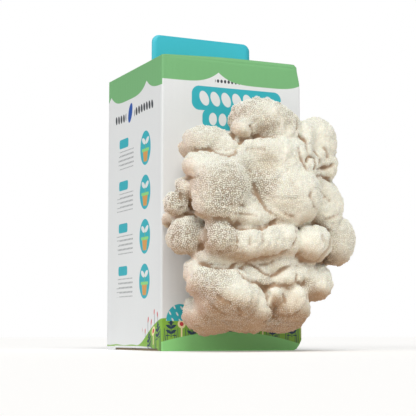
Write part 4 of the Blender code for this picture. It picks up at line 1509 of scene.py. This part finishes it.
def print_hills(sheet):
    """A round teal bush with white dashes at the left of the front, and the near green hill."""
    x, y = sheet.q - 17.0, sheet.v - 25.0
    bush = oval(x, y, 12.5, 14.0).most(-y).inside(0.4)
    dash = oval((x + y * 0.45).wrap(-3.1, 3.1), (y + x * 0.12).wrap(-2.7, 2.7), 0.8, 1.5)
    sheet.ink(TEAL, bush)
    sheet.ink(WHITE, dash.inside(0.4) * bush)
    across = (sheet.u - 62.0) / 80.0
    hill = sheet.v - (across * across * -14.0 + 16.0)
    # The hill is printed green, lightened as painted light against the shadow that the fungus casts on
    # it.
    sheet.ink(DEEP_GREEN, hill.inside(0.5) * sheet.front)


def print_plaque(sheet):
    """Two stacked teal bars with a garland of white leaves and a row of white dots, and a rule of
    dark dots above them."""
    x, y = sheet.q - 70.5, sheet.v - 215.0
    lower_y = y + 17.5
    upper = rounded_box(x, y, 43.0, 10.5, 7.0)
    lower = rounded_box(x, lower_y, 33.0, 9.0, 7.0)
    sheet.ink(TEAL, upper.least(lower).inside(0.4) * sheet.front)
    leaf = oval(x.wrap(-5.2, 5.2), y, 4.1, 6.6, 24.0)
    sheet.ink(WHITE, leaf.most(abs(x) - 36.6).inside(0.35) * sheet.front)
    dots = oval((x - 4.6).wrap(-4.6, 4.6), lower_y, 3.7, 5.4)
    sheet.ink(WHITE, dots.most(abs(x) - 27.5).inside(0.35) * sheet.front)
    rule = oval((x + 1.2).wrap(-1.7, 1.7), sheet.v - 231.0, 1.15, 1.5).most(abs(x + 1.0) - 20.0)
    sheet.ink(DARK, rule.inside(0.3) * sheet.front)


def print_beads(sheet):
    """On the side, a beaded line with a blue leaf in its gap."""
    x = sheet.q - SIDE_MIDDLE
    line_y = sheet.v - 210.0 - (x / 17.0).sin() * 1.2
    bead = oval(x.wrap(-3.1, 3.1), line_y, 2.2, 3.8, 12.0).most(abs(x) - 47.0)
    gap = (abs(x + 9.0) - 10.0).over(0.0)
    sheet.ink(DARK, bead.inside(0.35) * sheet.side * gap)
    leaf = oval(x + 9.0, sheet.v - 211.5, 4.6, 9.0, -20.0)
    sheet.ink(BLUE, leaf.inside(0.35) * sheet.side)


def print_rows(sheet):
    """On the side, rows of a potted seedling beside a blank tag and grey bars."""
    x, v = sheet.q - SIDE_MIDDLE, sheet.v
    row = ((v - ROW_FOOT) / ROW_TALL).math("FLOOR")
    in_rows = (abs(v - (ROW_FOOT + ROW_HALF)) - ROW_HALF).inside(0.3) * sheet.side
    y = (v - ROW_FOOT).math("MODULO", ROW_TALL) - ROW_TALL / 2

    pot_x = x - 28.0
    sheet.ink(TEAL, oval(pot_x, y, 12.0, 15.0).inside(0.35) * in_rows)
    pot = (abs(pot_x) + y * -0.22 - 6.4).most(abs(y + 7.0) - 5.0)
    sheet.ink(CLAY, pot.inside(0.35) * in_rows)
    soil = rounded_box(pot_x, y + 1.8, 8.2, 1.4, 1.0)
    sheet.ink(DEEP_GREEN, soil.inside(0.3) * in_rows)
    stem = (abs(pot_x) - 0.6).most(abs(y - 3.0) - 4.0)
    sheet.ink(GREEN, stem.inside(0.3) * in_rows)
    leaves = oval(abs(pot_x) - 4.0, y - 6.2, 4.4, 2.3, 30.0)
    sheet.ink(WHITE, leaves.inside(0.3) * in_rows)

    tag_x = x + 18.0
    tag = rounded_box(tag_x + 6.0, y - 11.0, 11.0, 4.2, 2.4)
    sheet.ink(TEAL, tag.inside(0.35) * in_rows)
    shorter = ((y / 4.1).math("FLOOR") * 2.7 + row * 1.9).sin() * 4.0
    bars = abs(y.wrap(-2.05, 2.05)) - 0.75
    bars = bars.most(abs(tag_x + shorter * 0.5) - (shorter * 0.5 + 18.0))
    bars = bars.most(abs(y + 4.1) - 8.3)
    speck = (x * 1.9 + v).sin().over(-0.55)
    sheet.ink(GREY, bars.inside(0.4) * in_rows * speck)


def print_top(sheet):
    """The green above the print, whose lower edge is arched: k^4 over each arch."""
    half = PRINT_SPAN / SCALLOPS / 2
    k = (sheet.q - 9.0).wrap(-half, half) / half
    edge = (k * k * k * k) * 9.5 + 229.0 - (sheet.side * 5.0)
    sheet.ink(GREEN, (edge - sheet.v).inside(0.4))


def make_board_material():
    """The outer print, with painted shade that darkens it a little at the folds, on a sheet with a faint
    grain.
    """
    material, tree, shader = new_material("printed_board", 0.5)
    sheet = Sheet(tree)
    for layer in (print_ground, print_hills, print_plaque, print_beads, print_rows, print_top):
        layer(sheet)
    # Painted shade: the print is darkened a little near the carton's upright folds.
    fold = abs(sheet.q - FRONT_SPAN).least(sheet.q).least(sheet.q * -1.0 + PRINT_SPAN)
    shade = clamp01(fold * 0.55) * 0.06 + 0.94
    place = object_place(tree)
    grain = noise(tree, place, 900.0, 3.0)
    broad = noise(tree, place, 16.0, 2.0)
    tone = shade * (grain * 0.03 + broad * 0.05 + 0.96)
    sheet.ink(tone.socket, 1.0, "MULTIPLY")
    tree.links.new(sheet.colour, shader.inputs["Base Color"])
    flutes = (sheet.u * 1.05).sin() * 0.06
    add_bump(tree, shader, grain * 0.35 + flutes, 0.0003)
    return material


# ------------------------------------------------------------------ raw board, card and medium

KRAFT = to_linear((196, 178, 152))
KRAFT_FIBRE = to_linear((168, 146, 116))
CARD = to_linear((58, 190, 212))
CARD_LIGHT = to_linear((70, 199, 219))
SAWDUST = to_linear((120, 88, 58))
SAWDUST_LIGHT = to_linear((176, 142, 100))
MYCELIUM = to_linear((226, 218, 202))


def make_raw_board_material():
    """The board's inner side and its cut edges."""
    material, tree, shader = new_material("raw_board", 0.85)
    place = object_place(tree)
    fibre = noise(tree, place, 700.0, 4.0)
    blotch = noise(tree, place, 60.0, 2.0)
    colour = paint(tree, KRAFT, KRAFT_FIBRE, fibre * 0.6 + blotch * 0.4)
    tree.links.new(colour, shader.inputs["Base Color"])
    add_bump(tree, shader, fibre, 0.0004)
    return material


def make_card_material():
    """Plain teal card with a satin coat."""
    material, tree, shader = new_material("blue_card", 0.45)
    place = object_place(tree)
    grain = noise(tree, place, 1100.0, 3.0)
    broad = noise(tree, place, 14.0, 2.0)
    colour = paint(tree, CARD, CARD_LIGHT, grain * 0.4 + broad * 0.6)
    tree.links.new(colour, shader.inputs["Base Color"])
    add_bump(tree, shader, grain, 0.0002)
    return material


def make_medium_material():
    """Moist sawdust with white threads of mycelium."""
    material, tree, shader = new_material("growing_medium", 0.8)
    place = object_place(tree)
    crumbs = noise(tree, place, 420.0, 5.0)
    threads = noise(tree, place, 55.0, 6.0)
    colour = paint(tree, SAWDUST, SAWDUST_LIGHT, crumbs)
    growth = clamp01((threads - 0.46) * 6.0)
    colour = paint(tree, colour, MYCELIUM, growth)
    tree.links.new(colour, shader.inputs["Base Color"])
    add_bump(tree, shader, crumbs, 0.0015)
    return material


# ------------------------------------------------------------------ fungus colour

# Painted light for the flesh that faces up.
CREAM_TOP = to_linear((243, 243, 230))
FLESH = to_linear((247, 242, 224))
# Painted shade for the flesh below and in the creases, which below is partly the flesh's own tan.
TAN = to_linear((206, 177, 143))
BROWN = to_linear((156, 116, 78))
# A pink painted shade for the flesh's left-facing sides.
PINK_SHADE = to_linear((234, 198, 182))
# Painted shade for the gaps between the teeth and at their feet.
GAP = to_linear((142, 120, 96))
# A painted highlight for the tips of the teeth.
TIP_WHITE = to_linear((255, 252, 244))


def make_fungus_material(name, teeth):
    """Cream painted light where the flesh faces up, tan and brown painted shade below, partly the
    flesh's own tan, and in the creases, a little pink painted shade at the left, painted shade between
    the teeth and at their feet, and a painted highlight paler towards the tips of the teeth."""
    material, tree, shader = new_material(name, 0.75)
    place = object_place(tree)
    broad = noise(tree, place, 38.0, 3.0)
    crease, hollow = stored(tree, "crease"), stored(tree, "hollow")
    upward, leftward = stored(tree, "upward"), stored(tree, "leftward")

    # Painted light: paler cream where the flesh faces up.
    colour = paint(tree, FLESH, CREAM_TOP, clamp01(upward * 1.1 + broad * 0.5))
    # Painted shade: tan, then brown, where the flesh faces down or left, lies in a hollow or sits low.
    below = clamp01(stored(tree, "below") + broad * 0.5)
    colour = paint(tree, colour, TAN, below * 0.9)
    colour = paint(tree, colour, BROWN, clamp01(below * 1.5 - 0.5) * 0.8)
    # Painted shade: pink on the flesh's left-facing sides.
    colour = paint(tree, colour, PINK_SHADE, clamp01(leftward * 1.6 - 0.85) * 0.55)
    # Painted shade: brown in the creases, wrinkles and valleys, and a little in the hollows.
    colour = paint(tree, colour, BROWN, clamp01(crease + hollow * 0.2 - 0.1) * 0.85)
    grain = stored(tree, "grain")
    if teeth:
        along = stored(tree, "along")
        # Painted shade at the feet of the teeth.
        colour = paint(tree, colour, GAP, clamp01(along * -2.6 + 1.3) * grain * 0.9)
        # Painted highlight: paler towards the tips of the teeth.
        colour = paint(tree, colour, TIP_WHITE, clamp01(along * 2.2 - 0.9) * (grain * 0.6 + 0.1))
    else:
        # Painted shade between the teeth on the open skin.
        colour = paint(tree, colour, GAP, grain * 0.8)
        add_bump(tree, shader, noise(tree, place, 420.0, 3.0), 0.0012)
    tree.links.new(colour, shader.inputs["Base Color"])
    shader.inputs["Subsurface Weight"].default_value = 0.12
    shader.inputs["Subsurface Radius"].default_value = (0.006, 0.003, 0.0015)
    shader.inputs["Subsurface Scale"].default_value = 0.4
    return material


# ------------------------------------------------------------------ run

make_camera()
make_studio()

board = add_piece("carton_board", make_carton_mesh(), ["carton"])
board.data.materials.append(make_board_material())
board.data.materials.append(make_raw_board_material())
thicken(board, BOARD, -1.0, 1)

card = add_piece("handle_card", make_card_mesh(), ["handle_tab"])
card.data.materials.append(make_card_material())
thicken(card, TAB_THICKNESS, 0.0, 0)

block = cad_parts["substrate_block"]
block.data.materials.clear()
block.data.materials.append(make_medium_material())

skin_mesh = make_skin_mesh()
add_piece("fungus_skin", skin_mesh, ["fruiting_body"])
skin_mesh.materials.append(make_fungus_material("fungus_flesh", False))
tooth_material = make_fungus_material("fungus_teeth", True)
for part, mesh in make_tooth_meshes(skin_mesh).items():
    mesh.materials.append(tooth_material)
    add_piece("fungus_teeth_" + part, mesh, ["fruiting_body"])
